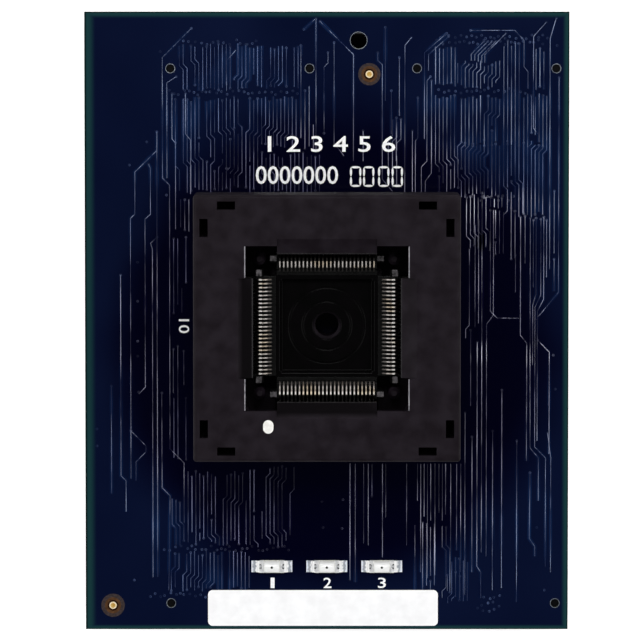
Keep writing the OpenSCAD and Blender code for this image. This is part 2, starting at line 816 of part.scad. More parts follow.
circuit_board();
blank_label();
socket_base();
nest_plate();
contact_carrier(east);  // contact_carrier_east
contact_carrier(north);  // contact_carrier_north
contact_carrier(west);  // contact_carrier_west
contact_carrier(south);  // contact_carrier_south
lead_comb(east);  // lead_comb_east
lead_comb(north);  // lead_comb_north
lead_comb(west);  // lead_comb_west
lead_comb(south);  // lead_comb_south
contact_tails(east);  // contact_tails_east
contact_tails(north);  // contact_tails_north
contact_tails(west);  // contact_tails_west
contact_tails(south);  // contact_tails_south
contact_arms(east);  // contact_arms_east
contact_arms(north);  // contact_arms_north
contact_arms(west);  // contact_arms_west
contact_arms(south);  // contact_arms_south
socket_cover();
cover_springs();
pin_one_dot();
socket_solder_joints();
connector_housing(0, 1);  // connector_housing_upper_left
connector_housing(1, 1);  // connector_housing_upper_right
connector_housing(0, 0);  // connector_housing_lower_left
connector_housing(1, 0);  // connector_housing_lower_right
connector_terminals(0, 1);  // connector_terminals_upper_left
connector_terminals(1, 1);  // connector_terminals_upper_right
connector_terminals(0, 0);  // connector_terminals_lower_left
connector_terminals(1, 0);  // connector_terminals_lower_right
connector_blade(0, 1);  // connector_blade_upper_left
connector_blade(1, 1);  // connector_blade_upper_right
connector_blade(0, 0);  // connector_blade_lower_left
connector_blade(1, 0);  // connector_blade_lower_right
lamp_base(-1);  // lamp_base_left
lamp_base(0);  // lamp_base_middle
lamp_base(1);  // lamp_base_right
lamp_lens(-1);  // lamp_lens_left
lamp_lens(0);  // lamp_lens_middle
lamp_lens(1);  // lamp_lens_right
lamp_terminals(-1);  // lamp_terminals_left
lamp_terminals(0);  // lamp_terminals_middle
lamp_terminals(1);  // lamp_terminals_right
lamp_solder_joints();
capacitor_bodies();
capacitor_ends();
resistor_bodies();
resistor_ends();
memory_chip_body();
memory_chip_leads();
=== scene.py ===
# %% [markdown]
# A socket card for a chip programmer, dressed in Blender.
#
# The card is a dark blue circuit board that carries a spring-contact test socket, three status
# lamps and a blank label, with four connectors underneath. The CAD model already holds every solid
# piece at its real size. This lesson adds what CAD leaves out: copper tracks, plated rings, white
# ink, wound springs and, above all, materials that look like the real ones.

# %% Load the CAD frame
import bpy
import bmesh
import math
import random
from mathutils import Matrix, Vector


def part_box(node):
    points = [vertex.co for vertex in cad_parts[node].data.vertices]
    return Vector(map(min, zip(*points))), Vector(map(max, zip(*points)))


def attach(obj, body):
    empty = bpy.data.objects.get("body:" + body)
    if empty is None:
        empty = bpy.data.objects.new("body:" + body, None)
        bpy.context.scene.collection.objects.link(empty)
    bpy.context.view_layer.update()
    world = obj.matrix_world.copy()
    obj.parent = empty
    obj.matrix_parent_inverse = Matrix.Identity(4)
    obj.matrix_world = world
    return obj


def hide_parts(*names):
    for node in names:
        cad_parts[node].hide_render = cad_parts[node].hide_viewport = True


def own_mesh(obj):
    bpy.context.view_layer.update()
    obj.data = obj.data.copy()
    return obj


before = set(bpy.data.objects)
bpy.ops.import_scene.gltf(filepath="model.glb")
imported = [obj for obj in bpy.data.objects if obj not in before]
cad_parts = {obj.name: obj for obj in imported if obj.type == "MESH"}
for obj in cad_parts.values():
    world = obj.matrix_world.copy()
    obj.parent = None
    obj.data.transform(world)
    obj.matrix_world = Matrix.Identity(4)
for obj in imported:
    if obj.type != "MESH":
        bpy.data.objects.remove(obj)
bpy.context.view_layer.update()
MM = 0.001
board_low, board_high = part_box("circuit_board")
print("loaded", len(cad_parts), "CAD nodes, board top at", round(board_high.z / MM, 2), "mm")

# %% [markdown]
# Materials first need four small helpers. Blender shades in linear light, while a colour picked by
# eye is an sRGB code, so one function turns the code to linear. A second fills a node's inputs: codes
# and plain values are set, and a node or one of its outputs is linked. A third adds a node of any
# kind, so each material reads like a recipe. The last starts a material with its shader and its Object
# coordinates, in which every pattern below is placed.

# %% Helpers for materials
# A Mix node has sockets for every kind of data. These two take colours.
MIX_A = 6
MIX_B = 7


def linear(code):
    """Linear colour of an sRGB code such as #1f1d1d."""
    channels = []
    for start in (1, 3, 5):
        value = int(code[start:start + 2], 16) / 255
        channels.append(value / 12.92 if value <= 0.04045 else ((value + 0.055) / 1.055) ** 2.4)
    return (*channels, 1.0)


def feed(material, node, inputs):
    """Fills inputs of a node: a colour code or a value is set, a node or an output is linked."""
    for socket, value in inputs.items():
        if isinstance(value, str):
            value = linear(value)
        if isinstance(value, bpy.types.Node):
            value = next(output for output in value.outputs if output.enabled)
        if isinstance(value, bpy.types.NodeSocket):
            material.node_tree.links.new(value, node.inputs[socket])
        else:
            node.inputs[socket].default_value = value


def add(material, kind, inputs, **settings):
    """Adds a shader node of a kind, with its settings made and its inputs fed."""
    made = material.node_tree.nodes.new("ShaderNode" + kind)
    for name, value in settings.items():
        setattr(made, name, value)
    feed(material, made, inputs)
    return made


def start_material(name, **values):
    """A new material, its Principled shader with values set, and its Object coordinates."""
    material = bpy.data.materials.new(name)
    material.use_nodes = True
    shader = material.node_tree.nodes["Principled BSDF"]
    feed(material, shader, {socket.replace("_", " "): value for socket, value in values.items()})
    return material, shader, add(material, "TexCoord", {}).outputs["Object"]


print("material helpers ready")

# %% [markdown]
# Round the socket everything on the board is darker and more violet. Partly a second copper plane lies
# under the first there, and partly it is painted shade of the socket. It could be painted as a mask
# image, but an image has to be laid out on every piece. An oval in Object coordinates needs nothing of
# the kind, and several materials can share it. A cloud of noise shifts its border, because the real one
# isn't sharp.

# %% The patch round the socket
# The patch is partly a second copper plane and partly painted shade of the socket.
PLANE_AND_SHADE_MIDDLE = (1.6, -3.2)
PLANE_AND_SHADE_HALVES = (29, 31)
PATCH_CLOUD = 16


def oval(material, place, middle, halves):
    """A node that gives 0 in the middle of an oval and 1 on its border. Sizes are millimetres."""
    offset = add(
        material, "VectorMath", {0: place, 1: (middle[0] * MM, middle[1] * MM, 0)}, operation="SUBTRACT"
    )
    in_halves = add(
        material, "VectorMath", {0: offset, 1: (1 / (halves[0] * MM), 1 / (halves[1] * MM), 0)},
        operation="MULTIPLY",
    )
    return add(material, "VectorMath", {0: in_halves}, operation="LENGTH")


def made_uneven(material, value, cloud, most):
    """The value, shifted by a cloud of noise by up to most either way."""
    shift = add(material, "MapRange", {"Value": cloud, "To Min": -most, "To Max": most})
    return add(material, "Math", {0: value, 1: shift}, operation="ADD")


def away_from_socket(material, place):
    """A node that gives 0 in the patch round the socket and 1 away from it."""
    cloud = add(material, "TexNoise", {"Vector": place, "Scale": 1 / (PATCH_CLOUD * MM), "Detail": 2.0})
    share = oval(material, place, PLANE_AND_SHADE_MIDDLE, PLANE_AND_SHADE_HALVES)
    return add(
        material, "MapRange",
        {"Value": made_uneven(material, share, cloud, 0.12), "From Min": 0.86, "From Max": 1.12},
        interpolation_type="SMOOTHSTEP",
    )


print("darker patch is", [2 * half for half in PLANE_AND_SHADE_HALVES], "mm wide and high")

# %% [markdown]
# Solder mask is a thin coat of blue lacquer. Over the copper plane it looks almost black, and round the
# socket nearer black still, partly from painted shade. The copper stops short of the board's edge, and
# there the pale glass laminate shines through, so the rim looks teal, with a dark line along the very
# edge. A separate strip of mesh could carry that rim, but it fades inward, so the material measures the
# distance to each edge instead. The cut sides of the board show bare laminate in layers, picked out by
# the direction of the surface. A clear coat gives the lacquer its gloss at low angles and keeps it dark
# from above.

# %% Solder mask over copper
# An axis, the board's edge on it, and the way from there to the rim's inner end in millimetres.
RIMS = [
    ("X", board_low.x, 1.35), ("X", board_high.x, -0.85),
    ("Y", board_low.y, 0.6), ("Y", board_high.y, -0.8),
]
# Distances count in rim widths. This one is farther in than any place on the board.
FARTHEST_IN = 1000.0
LACQUER_CLOUD = 14
LACQUER_RIPPLE = 0.9
LAYER_THICKNESS = 0.2
# At a scale of 1 a Wave texture repeats every 0.314 units.
WAVE_BAND = 0.314


def make_solder_mask():
    """Glossy blue lacquer: a deep plane, a teal rim and layered laminate on the cut sides."""
    material, shader, place = start_material(
        "solder_mask_on_glass_laminate", Roughness=0.3, Specular_IOR_Level=0.01, Coat_Weight=0.12,
        Coat_Roughness=0.1,
    )
    axes = add(material, "SeparateXYZ", {0: place}).outputs
    nearest = FARTHEST_IN
    for axis, edge, rim in RIMS:
        inward = add(material, "Math", {0: axes[axis], 1: edge}, operation="SUBTRACT")
        share = add(material, "Math", {0: inward, 1: 1 / (rim * MM)}, operation="MULTIPLY")
        nearest = add(material, "Math", {0: nearest, 1: share}, operation="MINIMUM")
    past_dark_edge = add(
        material, "MapRange", {"Value": nearest, "From Min": 0.06, "From Max": 0.26},
        interpolation_type="SMOOTHSTEP",
    )
    inside_rim = add(
        material, "MapRange", {"Value": nearest, "From Min": 0.35, "From Max": 1.1},
        interpolation_type="SMOOTHSTEP",
    )
    thickness = add(
        material, "TexNoise", {"Vector": place, "Scale": 1 / (LACQUER_CLOUD * MM), "Detail": 1.0}
    )
    lacquer = add(material, "Mix", {0: thickness, MIX_A: "#020720", MIX_B: "#0a132f"}, data_type="RGBA")
    # Round the socket the lacquer turns violet black: a second plane and painted shade.
    plane = add(
        material, "Mix", {0: away_from_socket(material, place), MIX_A: "#000013", MIX_B: lacquer},
        data_type="RGBA",
    )
    # A dark line along the very edge, then the teal rim.
    border = add(material, "Mix", {0: past_dark_edge, MIX_A: "#03100e", MIX_B: "#163538"}, data_type="RGBA")
    face = add(material, "Mix", {0: inside_rim, MIX_A: border, MIX_B: plane}, data_type="RGBA")
    layers = add(
        material, "TexWave",
        {"Vector": place, "Scale": WAVE_BAND / (LAYER_THICKNESS * MM), "Distortion": 1.5},
        bands_direction="Z",
    )
    cut_side = add(
        material, "Mix", {0: layers.outputs["Fac"], MIX_A: "#2c3a2b", MIX_B: "#7d7a4c"},
        data_type="RGBA",
    )
    direction = add(material, "NewGeometry", {}).outputs["Normal"]
    lean = add(material, "SeparateXYZ", {0: direction}).outputs["Z"]
    upright = add(material, "Math", {0: lean}, operation="ABSOLUTE")
    flat = add(material, "Math", {0: upright, 1: 0.5}, operation="GREATER_THAN")
    colour = add(material, "Mix", {0: flat, MIX_A: cut_side, MIX_B: face}, data_type="RGBA")
    ripple = add(
        material, "TexNoise", {"Vector": place, "Scale": 1 / (LACQUER_RIPPLE * MM), "Detail": 3.0}
    )
    bump = add(material, "Bump", {"Height": ripple, "Strength": 0.12, "Distance": 0.02 * MM})
    feed(material, shader, {"Base Color": colour, "Normal": bump})
    return material


# Solder mask: a navy near black from above, glossy at low angles, teal at the rim.
solder_mask = make_solder_mask()
print("made", solder_mask.name)

# %% [markdown]
# Most other finishes are one surface with a little life in it: a mottled colour, a fine grain that
# breaks the highlight, and the same grain in relief. Each could be built by hand, but one recipe keeps
# them alike. After its name and two colours a finish has four numbers: the size of the mottle, the size
# of the grain and the height of the relief, all in millimetres, and the roughness.

# %% One recipe for plain finishes
GLOSS_SPREAD = 0.08


def make_finish(name, dark, light, mottle, grain, relief, rough, **values):
    """A mottled surface whose colour, gloss and relief vary by sizes given in millimetres."""
    material, shader, place = start_material(name, **values)
    cloud = add(material, "TexNoise", {"Vector": place, "Scale": 1 / (mottle * MM), "Detail": 4.0})
    blend = add(material, "MapRange", {"Value": cloud, "From Min": 0.35, "From Max": 0.65})
    colour = add(material, "Mix", {0: blend, MIX_A: dark, MIX_B: light}, data_type="RGBA")
    grit = add(material, "TexNoise", {"Vector": place, "Scale": 1 / (grain * MM), "Detail": 2.0})
    gloss = add(
        material, "MapRange",
        {"Value": grit, "To Min": rough - GLOSS_SPREAD, "To Max": rough + GLOSS_SPREAD},
    )
    bump = add(material, "Bump", {"Height": grit, "Strength": 0.35, "Distance": relief * MM})
    feed(material, shader, {"Base Color": colour, "Roughness": gloss, "Normal": bump})
    return material


# Moulded glass-filled plastic: a matt, slightly grey black whose grain catches soft light.
moulded_black = make_finish(
    "moulded_glass_filled_plastic", "#110b11", "#1c171d", 2.0, 0.12, 0.01, 0.5, Specular_IOR_Level=0.08
)
# The inserts are moulded finer than the cover, with a little more gloss. Their near black, darker than
# the cover's, is painted shade deep in the socket.
insert_black_painted_shade = make_finish(
    "fine_moulded_insert_plastic_painted_shade", "#020202", "#040304", 2.0, 0.1, 0.002, 0.25, Specular_IOR_Level=0.06
)
# Connector plastic is liquid crystal polymer: near black, with faint flow streaks.
connector_black = make_finish(
    "liquid_crystal_polymer", "#030304", "#08080a", 1.2, 0.15, 0.008, 0.45, Specular_IOR_Level=0.05
)
# Pins and blades below are gold over nickel. Their sheared edges are dull, so the shine is broad.
contact_gold = make_finish(
    "gold_plated_stamped_contact", "#d8bd86", "#f6e8c4", 0.6, 0.09, 0.004, 0.36, Metallic=1.0
)
# Drawn spring wire: bright steel with fine lines from the die.
spring_steel = make_finish(
    "drawn_spring_steel", "#8e9297", "#b9bdc2", 0.5, 0.08, 0.004, 0.32, Metallic=1.0
)
# Reflowed solder: a bright skin that froze in soft puddles.
solder = make_finish("reflowed_solder", "#c9ccce", "#f0f2f2", 0.5, 0.3, 0.03, 0.26, Metallic=0.55)
# Matt tin plate on small terminals.
tin_plate = make_finish("matt_tin_plate", "#d6d7d9", "#f3f3f4", 0.4, 0.1, 0.005, 0.4, Metallic=0.35)
# Rings round the holes are copper that was dipped in solder and blown level.
tinned_copper = make_finish(
    "hot_air_levelled_copper", "#838a94", "#a8afb8", 0.4, 0.2, 0.01, 0.35, Metallic=0.85
)
print("made", len(bpy.data.materials), "materials so far")

# %% [markdown]
# The same recipe makes the finishes of the board's small marks, of the label and of the chips below.
# They differ in what the eye sees first: ink is matt, paint is smooth, paper is cloudy and glaze is
# glassy.

# %% Finishes of marks and small parts
# Aiming dots are copper under a thin bright gold.
fiducial_gold = make_finish(
    "immersion_gold_on_copper", "#c79a45", "#e3be72", 0.5, 0.2, 0.006, 0.3, Metallic=0.35
)
# Where the mask is open and no copper lies, the brown laminate shows its weave.
bare_laminate = make_finish(
    "bare_glass_laminate", "#3f2814", "#553821", 0.35, 0.2, 0.01, 0.5, Specular_IOR_Level=0.1
)
# Screen ink lies on the mask as a matt white film with tiny pinholes.
screen_ink = make_finish(
    "white_screen_ink", "#ebebeb", "#fbfbfa", 0.3, 0.12, 0.006, 0.6, Specular_IOR_Level=0.25
)
# Dot paint is thicker, so it is smoother than the ink.
dot_paint = make_finish("white_marking_paint", "#e4e2dc", "#f5f4f0", 0.5, 0.2, 0.006, 0.45)
# Label paper is coated and bright, with a faint cloud of fibres.
label_paper = make_finish(
    "coated_label_paper", "#f4f4f5", "#fcfcfd", 1.5, 0.15, 0.003, 0.55, Specular_IOR_Level=0.2
)
# A lamp's base is white-filled laminate.
lamp_laminate = make_finish("white_filled_laminate", "#e9e8de", "#f8f7f0", 0.4, 0.15, 0.004, 0.5)
# Chip capacitors are fired ceramic, tan and slightly speckled.
ceramic = make_finish("fired_barium_ceramic", "#8c6f4b", "#b4946b", 0.3, 0.1, 0.005, 0.5)
# Chip resistors wear a glassy black glaze.
glaze = make_finish("black_resistor_glaze", "#121216", "#202028", 0.4, 0.2, 0.003, 0.25)
# Chip bodies are moulded epoxy with a fine grey grit.
chip_epoxy = make_finish(
    "moulded_epoxy", "#171718", "#232324", 0.8, 0.1, 0.006, 0.55, Specular_IOR_Level=0.3
)
print("made", len(bpy.data.materials), "materials so far")

# %% [markdown]
# The cover has the same plastic as the base. Chips slide down its four lead-in slopes, which carry
# painted shade, darkest at the left and below, and have a little less gloss. So this finish is a copy
# of the plain one with a darker colour mixed in, where Object coordinates say that a slope lies. The
# larger of X and Y, without sign, is the distance out from the socket's middle, and the smaller one is
# the distance aside. A helper gives both, because the contacts need them too.

# %% Plastic with painted shade on its slopes
SLOPE_OUTER = 11.4
SLOPE_FADE = 0.7
SLOPE_END = 6.4
SLOPE_TURN = 5.0


def out_and_aside(material, axes):
    """Two nodes: the larger and the smaller of X and Y, without sign."""
    across = add(material, "Math", {0: axes["X"]}, operation="ABSOLUTE")
    along = add(material, "Math", {0: axes["Y"]}, operation="ABSOLUTE")
    outward = add(material, "Math", {0: across, 1: along}, operation="MAXIMUM")
    aside = add(material, "Math", {0: across, 1: along}, operation="MINIMUM")
    return outward, aside


def make_cover_slope_shade():
    """Moulded black with painted shade on the slopes at the left and below."""
    material = moulded_black.copy()
    material.name = "moulded_plastic_painted_slope_shade"
    shader = material.node_tree.nodes["Principled BSDF"]
    plain = shader.inputs["Base Color"].links[0].from_socket
    place = add(material, "TexCoord", {}).outputs["Object"]
    axes = add(material, "SeparateXYZ", {0: place}).outputs
    outward, aside = out_and_aside(material, axes)
    diagonal = add(material, "Math", {0: axes["X"], 1: axes["Y"]}, operation="ADD")
    slope_shade = add(material, "Math", {0: aside, 1: SLOPE_END * MM}, operation="LESS_THAN")
    fades = (
        (outward, SLOPE_OUTER - SLOPE_FADE, SLOPE_OUTER),
        (diagonal, -SLOPE_TURN, SLOPE_TURN),
    )
    for distance, start, end in fades:
        fade = add(
            material, "MapRange",
            {
                "Value": distance, "From Min": start * MM, "From Max": end * MM,
                "To Min": 1.0, "To Max": 0.0,
            },
        )
        slope_shade = add(material, "Math", {0: slope_shade, 1: fade}, operation="MULTIPLY")
    # Painted shade: the slopes are mixed towards a darker colour.
    colour = add(material, "Mix", {0: slope_shade, MIX_A: plain, MIX_B: "#0c0a0c"}, data_type="RGBA")
    shine = add(material, "MapRange", {"Value": slope_shade, "To Min": 0.08, "To Max": 0.01})
    feed(material, shader, {"Base Color": colour, "Specular IOR Level": shine})
    return material


# Cover plastic: painted shade and less gloss on the slopes.
cover_slope_shade = make_cover_slope_shade()
print("made", cover_slope_shade.name)

# %% [markdown]
# Four more finishes lie under the mask. Tracks are copper, and the lacquer runs thin over their edges,
# so they look blue grey. In the crowded fields it lies thicker and they are dimmer. Beside a track
# there is no copper, only laminate, which looks greener. Vias are dimmer than tracks, because the mask
# lies thick in their holes. All are mottled, as the mask's thickness varies, and all take the violet
# tint round the socket, which is partly painted shade. The mottle of tracks and vias is drawn out along
# Y by a Mapping node, so neighbouring tracks differ and a track changes slowly; on the tracks its pale
# stretches are painted glints of the lamps. In three places right of the socket the tracks get painted
# highlights of near white, each place by a share of its own.

# %% Finishes under the mask
# Middle and half sizes of each place of painted highlights in millimetres, and its share.
GLINT_PLACES = [
    ((25.5, 14.7), (6.0, 2.8), 0.3), ((19.8, 15.0), (3.2, 2.8), 0.8), ((23.2, -4.2), (6.8, 2.0), 0.9),
]
GLINT_WHITE = "#ececff"


def painted_glints(material, place):
    """A node with the share of painted highlight, which is 0 outside the glint places."""
    glint = 0.0
    for middle, halves, share in GLINT_PLACES:
        patch = add(
            material, "MapRange",
            {
                "Value": oval(material, place, middle, halves), "From Min": 0.5, "From Max": 1.0,
                "To Min": share, "To Max": 0.0,
            },
        )
        glint = add(material, "Math", {0: glint, 1: patch}, operation="MAXIMUM")
    return glint


def make_under_mask(name, near, far, mottle, stretch, shine, **values):
    """A mottled pair of colours round the socket, another pair away from it, and painted glints."""
    material, shader, place = start_material(name, Roughness=0.3, **values)
    drawn_out = add(material, "Mapping", {"Vector": place, "Scale": (1, 1 / stretch, 1)})
    cloud = add(material, "TexNoise", {"Vector": drawn_out, "Scale": 1 / (mottle * MM), "Detail": 2.0})
    blend = add(material, "MapRange", {"Value": cloud, "From Min": 0.41, "From Max": 0.78})
    pairs = []
    for dark, light in (near, far):
        pairs.append(add(material, "Mix", {0: blend, MIX_A: dark, MIX_B: light}, data_type="RGBA"))
    colour = add(
        material, "Mix", {0: away_from_socket(material, place), MIX_A: pairs[0], MIX_B: pairs[1]},
        data_type="RGBA",
    )
    streaks = add(material, "MapRange", {"Value": blend, "From Max": 0.5, "To Max": shine})
    shown = add(material, "Math", {0: painted_glints(material, place), 1: streaks}, operation="MULTIPLY")
    # Painted highlights: near white in the glint places, on the pale stretches of the mottle.
    with_glints = add(material, "Mix", {0: shown, MIX_A: colour, MIX_B: GLINT_WHITE}, data_type="RGBA")
    feed(material, shader, {"Base Color": with_glints})
    return material


# Tracks: dim in most places, pale in stretches of painted glints.
covered_copper = make_under_mask(
    "copper_track_under_mask", ("#14132c", "#b4b3ca"), ("#0c1c42", "#9aa6c6"), 0.7, 9, 1.0,
    Specular_IOR_Level=0.25,
)
# Tracks in crowded fields: a dimmer blue.
deep_copper = make_under_mask(
    "copper_track_under_thick_mask", ("#0c0c24", "#8080a2"), ("#0a1a40", "#6a7aa4"), 0.7, 9, 1.0,
    Specular_IOR_Level=0.2,
)
# Vias: hardly paler than the plane.
covered_via = make_under_mask(
    "plated_hole_under_mask", ("#0c0c20", "#48485e"), ("#0c1938", "#46567c"), 0.7, 3, 0.2,
    Specular_IOR_Level=0.2,
)
# Gaps in the plane: from the plane's own navy to a greener blue.
clear_laminate = make_under_mask(
    "mask_on_laminate_gap", ("#000013", "#060520"), ("#040c28", "#102448"), 6.0, 1, 0.0,
    Specular_IOR_Level=0.01, Coat_Weight=0.12, Coat_Roughness=0.1,
)
print("made", covered_copper.name, deep_copper.name, covered_via.name, "and", clear_laminate.name)

# %% [markdown]
# Two finishes in the socket change with height. The tails of the contacts are tinned where they pass
# through the board, and above it they are near black: painted shade inside the socket. The comb posts
# are black, with painted highlights in spots on their tops. Two slots on each piece would give a hard
# line, so one recipe mixes a low and a high colour along Z, with a stain that makes the border uneven.

# %% Finishes that change with height
STAIN_SIZE = 0.6
STAIN_REACH = 0.15


def make_graded(name, low_colour, high_colour, low, high, rough, **values):
    """A finish that turns from one colour to another between two heights in millimetres."""
    material, shader, place = start_material(name, **values)
    height = add(material, "SeparateXYZ", {0: place}).outputs["Z"]
    stain = add(material, "TexNoise", {"Vector": place, "Scale": 1 / (STAIN_SIZE * MM), "Detail": 2.0})
    level = made_uneven(material, height, stain, STAIN_REACH * MM)
    share = add(material, "MapRange", {"Value": level, "From Min": low * MM, "From Max": high * MM})
    colour = add(material, "Mix", {0: share, MIX_A: low_colour, MIX_B: high_colour}, data_type="RGBA")
    gloss = add(
        material, "MapRange",
        {"Value": stain, "To Min": rough - GLOSS_SPREAD, "To Max": rough + GLOSS_SPREAD},
    )
    feed(material, shader, {"Base Color": colour, "Roughness": gloss})
    return material


# Contact tails: bright tin at the solder joints, painted shade above the board.
tails_tin_and_painted_shade = make_graded(
    "tin_dipped_tail_painted_shade", "#cfccc4", "#151211", 6.3, 7.5, 0.34, Metallic=0.4
)
# Comb posts: black plastic with painted highlights on their tops in spots.
post_tops_painted_highlight = make_graded(
    "insert_plastic_painted_highlight", "#030303", "#9d989c", 15.42, 15.76, 0.3, Specular_IOR_Level=0.2
)
print("made", tails_tin_and_painted_shade.name, "and", post_tops_painted_highlight.name)

# %% [markdown]
# A contact arm is a stamped blade of nickel whose top carries gold. Its colour holds painted light: a
# painted highlight along the middle line of the top, brightest at the heel, again at the bend and a
# little down the beak, and near black painted shade on the rest. Where the gold has worn thin it looks
# warmer. A hundred blades are one pattern, not a hundred paintings: the distance out from the socket's
# middle goes to a Color Ramp, which gives the painted highlight along a blade, and the distance aside,
# wrapped by the pitch, is the distance from a blade's middle line. On the upper row painted shade of
# the cover's lip covers the outer part, so only its bends are bright.

# %% Contact plating
CONTACT_PITCH = 0.5
# Nickel in painted shade: near black.
NICKEL_PAINTED_SHADE = "#171413"
# Distances from the socket's middle in millimetres, and the tone there.
ROW_PAINTED_LIGHT = [
    (7.05, NICKEL_PAINTED_SHADE), (7.15, "#56514d"), (7.5, "#5c5754"), (7.72, "#c6bfba"), (7.9, "#bbb4af"),
    (8.05, "#a59d96"), (8.24, "#b4aca6"), (8.32, "#fffaf4"), (8.62, "#fffaf4"), (8.7, "#5c5652"),
    (8.76, NICKEL_PAINTED_SHADE),
]
UPPER_ROW_PAINTED_SHADE = [
    (7.5, NICKEL_PAINTED_SHADE), (7.62, "#c6c0bb"), (7.8, "#ded8d3"), (8.3, "#d6d0cb"), (8.42, NICKEL_PAINTED_SHADE),
]
# The painted highlight line is slim along the blade and wider at the heel.
LINE_CORE = 0.05
LINE_SLIM = 0.09
LINE_WIDE = 0.14
HEEL_FROM = 8.25
HEEL_FULL = 8.4
WEAR_CLOUD = 2.5


def tones_along(material, distance, stops):
    """A colour that goes from stop to stop with a distance: each stop is millimetres and a code."""
    near, far = stops[0][0], stops[-1][0]
    share = add(material, "MapRange", {"Value": distance, "From Min": near * MM, "From Max": far * MM})
    ramp = add(material, "ValToRGB", {"Fac": share})
    marks = ramp.color_ramp.elements
    marks[0].color = linear(stops[0][1])
    marks[1].color = linear(stops[-1][1])
    for length, code in stops[1:-1]:
        mark = marks.new((length - near) / (far - near))
        mark.color = linear(code)
    return ramp


def make_contact_plating(name, stops):
    """Gold on nickel: a painted highlight on each blade's middle line at given distances in
    millimetres, painted shade elsewhere.
    """
    material, shader, place = start_material(name, Metallic=0.4, Roughness=0.34)
    outward, aside = out_and_aside(material, add(material, "SeparateXYZ", {0: place}).outputs)
    half_pitch = CONTACT_PITCH / 2 * MM
    wrapped = add(material, "Math", {0: aside, 1: half_pitch, 2: -half_pitch}, operation="WRAP")
    off_line = add(material, "Math", {0: wrapped}, operation="ABSOLUTE")
    line_width = add(
        material, "MapRange",
        {
            "Value": outward, "From Min": HEEL_FROM * MM, "From Max": HEEL_FULL * MM,
            "To Min": LINE_SLIM * MM, "To Max": LINE_WIDE * MM,
        },
    )
    highlight_line = add(
        material, "MapRange",
        {
            "Value": off_line, "From Min": LINE_CORE * MM, "From Max": line_width,
            "To Min": 1.0, "To Max": 0.0,
        },
    )
    wear = add(material, "TexNoise", {"Vector": place, "Scale": 1 / (WEAR_CLOUD * MM), "Detail": 1.0})
    warmth = add(material, "MapRange", {"Value": wear, "From Min": 0.5, "From Max": 0.65})
    tinted = add(
        material, "Mix", {0: warmth, MIX_A: tones_along(material, outward, stops), MIX_B: "#fff3dc"},
        data_type="RGBA", blend_type="MULTIPLY",
    )
    # Painted highlight on the middle line, painted shade beside it.
    colour = add(material, "Mix", {0: highlight_line, MIX_A: NICKEL_PAINTED_SHADE, MIX_B: tinted}, data_type="RGBA")
    feed(material, shader, {"Base Color": colour})
    return material


# Contacts: a painted white highlight at the heel and a softer one inward.
contacts_painted_light = make_contact_plating("gold_on_nickel_contact_painted_light", ROW_PAINTED_LIGHT)
# Upper row: painted shade over the outer part, so only a short pale dash on each bend.
upper_contacts_painted_shade = make_contact_plating("gold_on_nickel_upper_contact_painted_shade", UPPER_ROW_PAINTED_SHADE)
print("made", contacts_painted_light.name, "and", upper_contacts_painted_shade.name)

# %% [markdown]
# A lamp's lens is clear epoxy, slightly milky, over a tiny dark light-emitting chip. The chip shows
# as a dot in the middle. The three lamps stand at an even pitch, so wrapping X by that pitch gives
# each lens its own middle, and the dot is where the distance from it is small. Light that scatters
# under the surface, and a sheen at low angles, keep the round lens pale up to its sides. The solder at
# both ends of a lamp carries painted light and shade: a pale rim, a dull dip and a white bank against
# the terminal.

# %% Lens epoxy and lamp solder
LAMP_PITCH = 7.12
LAMP_DOT = 0.2
LAMP_DOT_CORE = 0.12
LENS_HAZE = 0.8
# Distances from a lamp's middle in millimetres, and the tone there.
# Painted light and shade along the fillet.
FILLET_PAINTED_LIGHT = [
    (1.5, "#ffffff"), (2.0, "#ffffff"), (2.17, "#8a9099"), (2.35, "#8a9099"), (2.48, "#dfe3ec"),
    (2.6, "#dfe3ec"),
]
FILLET_RIPPLE = 0.4
FILLET_REACH = 0.25


def from_lamp_middle(material, across):
    """A node with the distance along X from the middle of the nearest lamp."""
    half_pitch = LAMP_PITCH / 2 * MM
    return add(material, "Math", {0: across, 1: half_pitch, 2: -half_pitch}, operation="WRAP")


def make_lamp_solder():
    """Solder whose tone, painted light and shade, changes along a lamp's ends."""
    material, shader, place = start_material("solder_fillet_painted_light", Metallic=0.05, Roughness=0.3)
    across = add(material, "SeparateXYZ", {0: place}).outputs["X"]
    outward = add(material, "Math", {0: from_lamp_middle(material, across)}, operation="ABSOLUTE")
    ripple = add(
        material, "TexNoise", {"Vector": place, "Scale": 1 / (FILLET_RIPPLE * MM), "Detail": 1.0}
    )
    reach = made_uneven(material, outward, ripple, FILLET_REACH * MM)
    feed(material, shader, {"Base Color": tones_along(material, reach, FILLET_PAINTED_LIGHT)})
    return material


